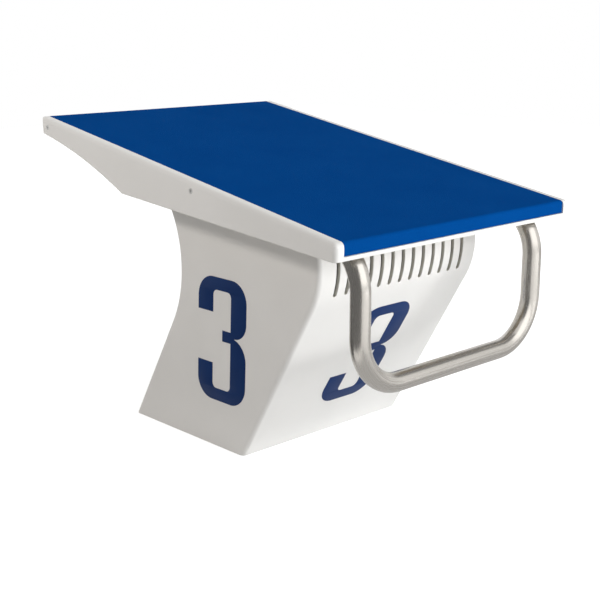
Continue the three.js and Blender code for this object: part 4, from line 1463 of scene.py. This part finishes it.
# Lane numbers
def number_outline(slant):
    """Lane number 3: a narrow figure with two round bowls that meet at its waist"""
    wide, high, bend, notch = NUMBER_WIDTH, NUMBER_HEIGHT, NUMBER_RADIUS, NUMBER_INNER_RADIUS
    stroke, bar, waist = NUMBER_STROKE, NUMBER_BAR, NUMBER_WAIST_RADIUS
    stub_left = wide - stroke - NUMBER_STUB_LENGTH
    stub_bottom = NUMBER_WAIST - NUMBER_STUB_THICKNESS / 2
    stub_top = NUMBER_WAIST + NUMBER_STUB_THICKNESS / 2
    pinch = Vector((bend - waist, sqrt(bend * bend - (bend - waist) ** 2)))
    lower_turn = abs(pinch.angle_signed(Vector((1, 0))))
    points = [
        (0, NUMBER_ARM_LOW),
        *arc(bend, bend, bend, pi, pi * 1.5, NUMBER_BEND_STEPS),
        *arc(wide - bend, bend, bend, -pi / 2, 0, NUMBER_BEND_STEPS),
        *arc(wide - bend, NUMBER_WAIST - bend, bend, 0, lower_turn, NUMBER_WAIST_STEPS),
        *arc(wide - waist, NUMBER_WAIST + waist, waist, -pi / 2, 0, NUMBER_WAIST_STEPS),
        *arc(wide - bend, high - bend, bend, 0, pi / 2, NUMBER_BEND_STEPS),
        *arc(bend, high - bend, bend, pi / 2, pi, NUMBER_BEND_STEPS),
        (0, NUMBER_ARM_HIGH),
        (stroke, NUMBER_ARM_HIGH),
        *arc(stroke + notch, high - bar - notch, notch, pi, pi / 2, NUMBER_INNER_STEPS),
        *arc(wide - stroke - notch, high - bar - notch, notch, pi / 2, 0, NUMBER_INNER_STEPS),
        (wide - stroke, stub_top),
        (stub_left, stub_top),
        (stub_left, stub_bottom),
        (wide - stroke, stub_bottom),
        *arc(wide - stroke - notch, bar + notch, notch, 0, -pi / 2, NUMBER_INNER_STEPS),
        *arc(stroke + notch, bar + notch, notch, -pi / 2, -pi, NUMBER_INNER_STEPS),
        (stroke, NUMBER_ARM_LOW),
    ]
    return [(x - wide / 2 + y * tan(slant), y) for x, y in points]


def make_numbers(film):
    rise = Vector((0, -sin(LEAN), cos(LEAN)))
    up = Vector((0, 0, 1))
    front_foot = Vector((FRONT_NUMBER_OFFSET, FOOT_Y, 0))
    kinds = [("front", front_foot + rise * FRONT_NUMBER_HEIGHT, Vector((1, 0, 0)), rise, FRONT_NUMBER_SLANT)]
    for label, side in SIDES:
        place = Vector((side * PEDESTAL_HALF, FOOT_Y + SIDE_NUMBER_SETBACK, SIDE_NUMBER_HEIGHT))
        kinds.append((label, place, Vector((0, side, 0)), up, SIDE_NUMBER_SLANT))
    for label, place, right, rising, slant in kinds:
        mesh = plate_mesh(number_outline(slant), [], FILM_GAP, FILM_GAP + FILM_THICKNESS, FILM_EDGE)
        turn = Matrix((right, rising, right.cross(rising))).transposed().to_4x4()
        mesh.transform(Matrix.Translation(place) @ turn)
        finish_piece(link("film", mesh), f"film_{label}", [f"number_{label}"], [film])


# Studio
def make_camera():
    camera = bpy.data.cameras.new("camera")
    camera.lens = CAMERA_LENS
    camera.sensor_width = SENSOR_WIDTH
    holder = link("camera", camera)
    holder.location = CAMERA_PLACE
    holder.rotation_euler = CAMERA_TURN
    bpy.context.scene.camera = holder


def make_floor():
    """A pale floor that keeps the block's shadow and is white to the camera"""
    work = bmesh.new()
    bmesh.ops.create_grid(work, x_segments=1, y_segments=1, size=FLOOR_HALF)
    mesh = mesh_from(work, "floor")
    mesh.transform(Matrix.Translation((0, 0, -FLOOR_DROP)))
    material = bpy.data.materials.new("floor")
    graph = cleared(material)
    path = graph.add("ShaderNodeLightPath").outputs
    place = graph.add("ShaderNodeTexCoord").outputs["Object"]
    distance = graph.vector("LENGTH", place).outputs["Value"]
    seen = graph.math("MULTIPLY", path["Is Camera Ray"], graph.spread(distance, *FLOOR_FADE, *FLOOR_GLOW))
    gloss = graph.math("MAXIMUM", path["Is Glossy Ray"], path["Is Transmission Ray"])
    lift = graph.math("ADD", seen, graph.math("MULTIPLY", gloss, FLOOR_GLOSS_GLOW))
    matt = graph.add("ShaderNodeBsdfDiffuse", {"Color": FLOOR_COLOUR})
    glow = graph.add("ShaderNodeEmission", {"Color": WHITE, "Strength": lift})
    graph.add("ShaderNodeOutputMaterial", {0: graph.add("ShaderNodeAddShader", {0: matt, 1: glow})})
    mesh.materials.append(material)
    link("floor", mesh)


def make_world():
    """A sky that is white to the camera, in metal and in glass, and lights the block softly"""
    world = bpy.data.worlds.new("studio")
    graph = cleared(world)
    path = graph.add("ShaderNodeLightPath").outputs
    seen = graph.math("MAXIMUM", path["Is Camera Ray"], path["Is Glossy Ray"])
    seen = graph.math("MAXIMUM", seen, path["Is Transmission Ray"])
    glow = graph.between(seen, SKY_LIGHT, 1.0)
    sky = graph.add("ShaderNodeBackground", {"Color": WHITE, "Strength": glow})
    graph.add("ShaderNodeOutputWorld", {0: sky})
    bpy.context.scene.world = world


def add_lamp(name, place, target, size, power, colour):
    """A soft light that doesn't show itself"""
    lamp = bpy.data.lights.new(name, "AREA")
    lamp.shape = "RECTANGLE"
    lamp.size, lamp.size_y = size
    lamp.energy = power
    lamp.color = colour
    holder = link(name, lamp)
    holder.location = place
    holder.rotation_euler = (Vector(target) - Vector(place)).to_track_quat("-Z", "Y").to_euler()
    holder.visible_camera = False
    holder.visible_glossy = False


def add_painted_reflection(name, low, high, shade):
    """A sheet that shows only in gloss: a painted reflection, dark or bright, on the steel and gelcoat. It
    lights nothing and casts no shadow.
    """
    first, second = [axis for axis in range(3) if low[axis] != high[axis]]
    corners = [list(low), list(low), list(high), list(low)]
    corners[1][first] = high[first]
    corners[3][second] = high[second]
    mesh = bpy.data.meshes.new(name)
    mesh.from_pydata(corners, [], [(0, 1, 2, 3)])
    material = bpy.data.materials.new(name)
    graph = cleared(material)
    glow = graph.add("ShaderNodeEmission", {"Color": WHITE, "Strength": shade})
    graph.add("ShaderNodeOutputMaterial", {0: glow})
    mesh.materials.append(material)
    card = link(name, mesh)
    card.visible_camera = False
    card.visible_diffuse = False
    card.visible_shadow = False
    card.visible_transmission = False


make_camera()
GELCOAT = gelcoat_material()
LAMINATE = laminate_material()
STEEL = steel_material("ground_stainless", STAINLESS, PLATE_ROUGHNESS)
TUBE_STEEL = steel_material("ground_tube", STAINLESS, TUBE_ROUGHNESS, tube_place)
FASTENER = steel_material("fastener_steel", FASTENER_STEEL, FASTENER_ROUGHNESS)
make_pedestal(GELCOAT, LAMINATE)
make_platform(GELCOAT, LAMINATE)
make_tread(grip_material())
make_rail(TUBE_STEEL)
make_plates(STEEL, FASTENER)
make_fasteners(FASTENER)
make_numbers(film_material())
board = frame["nodes"]["stiffening_board"]
board.material_slots[0].material = plywood_material()
make_floor()
make_world()
for lamp_facts in LAMPS:
    add_lamp(*lamp_facts)
# Painted reflections, dark and bright, that show only in gloss
for card_facts in PAINTED_REFLECTIONS:
    add_painted_reflection(*card_facts)
bpy.context.scene.view_settings.view_transform = "Standard"
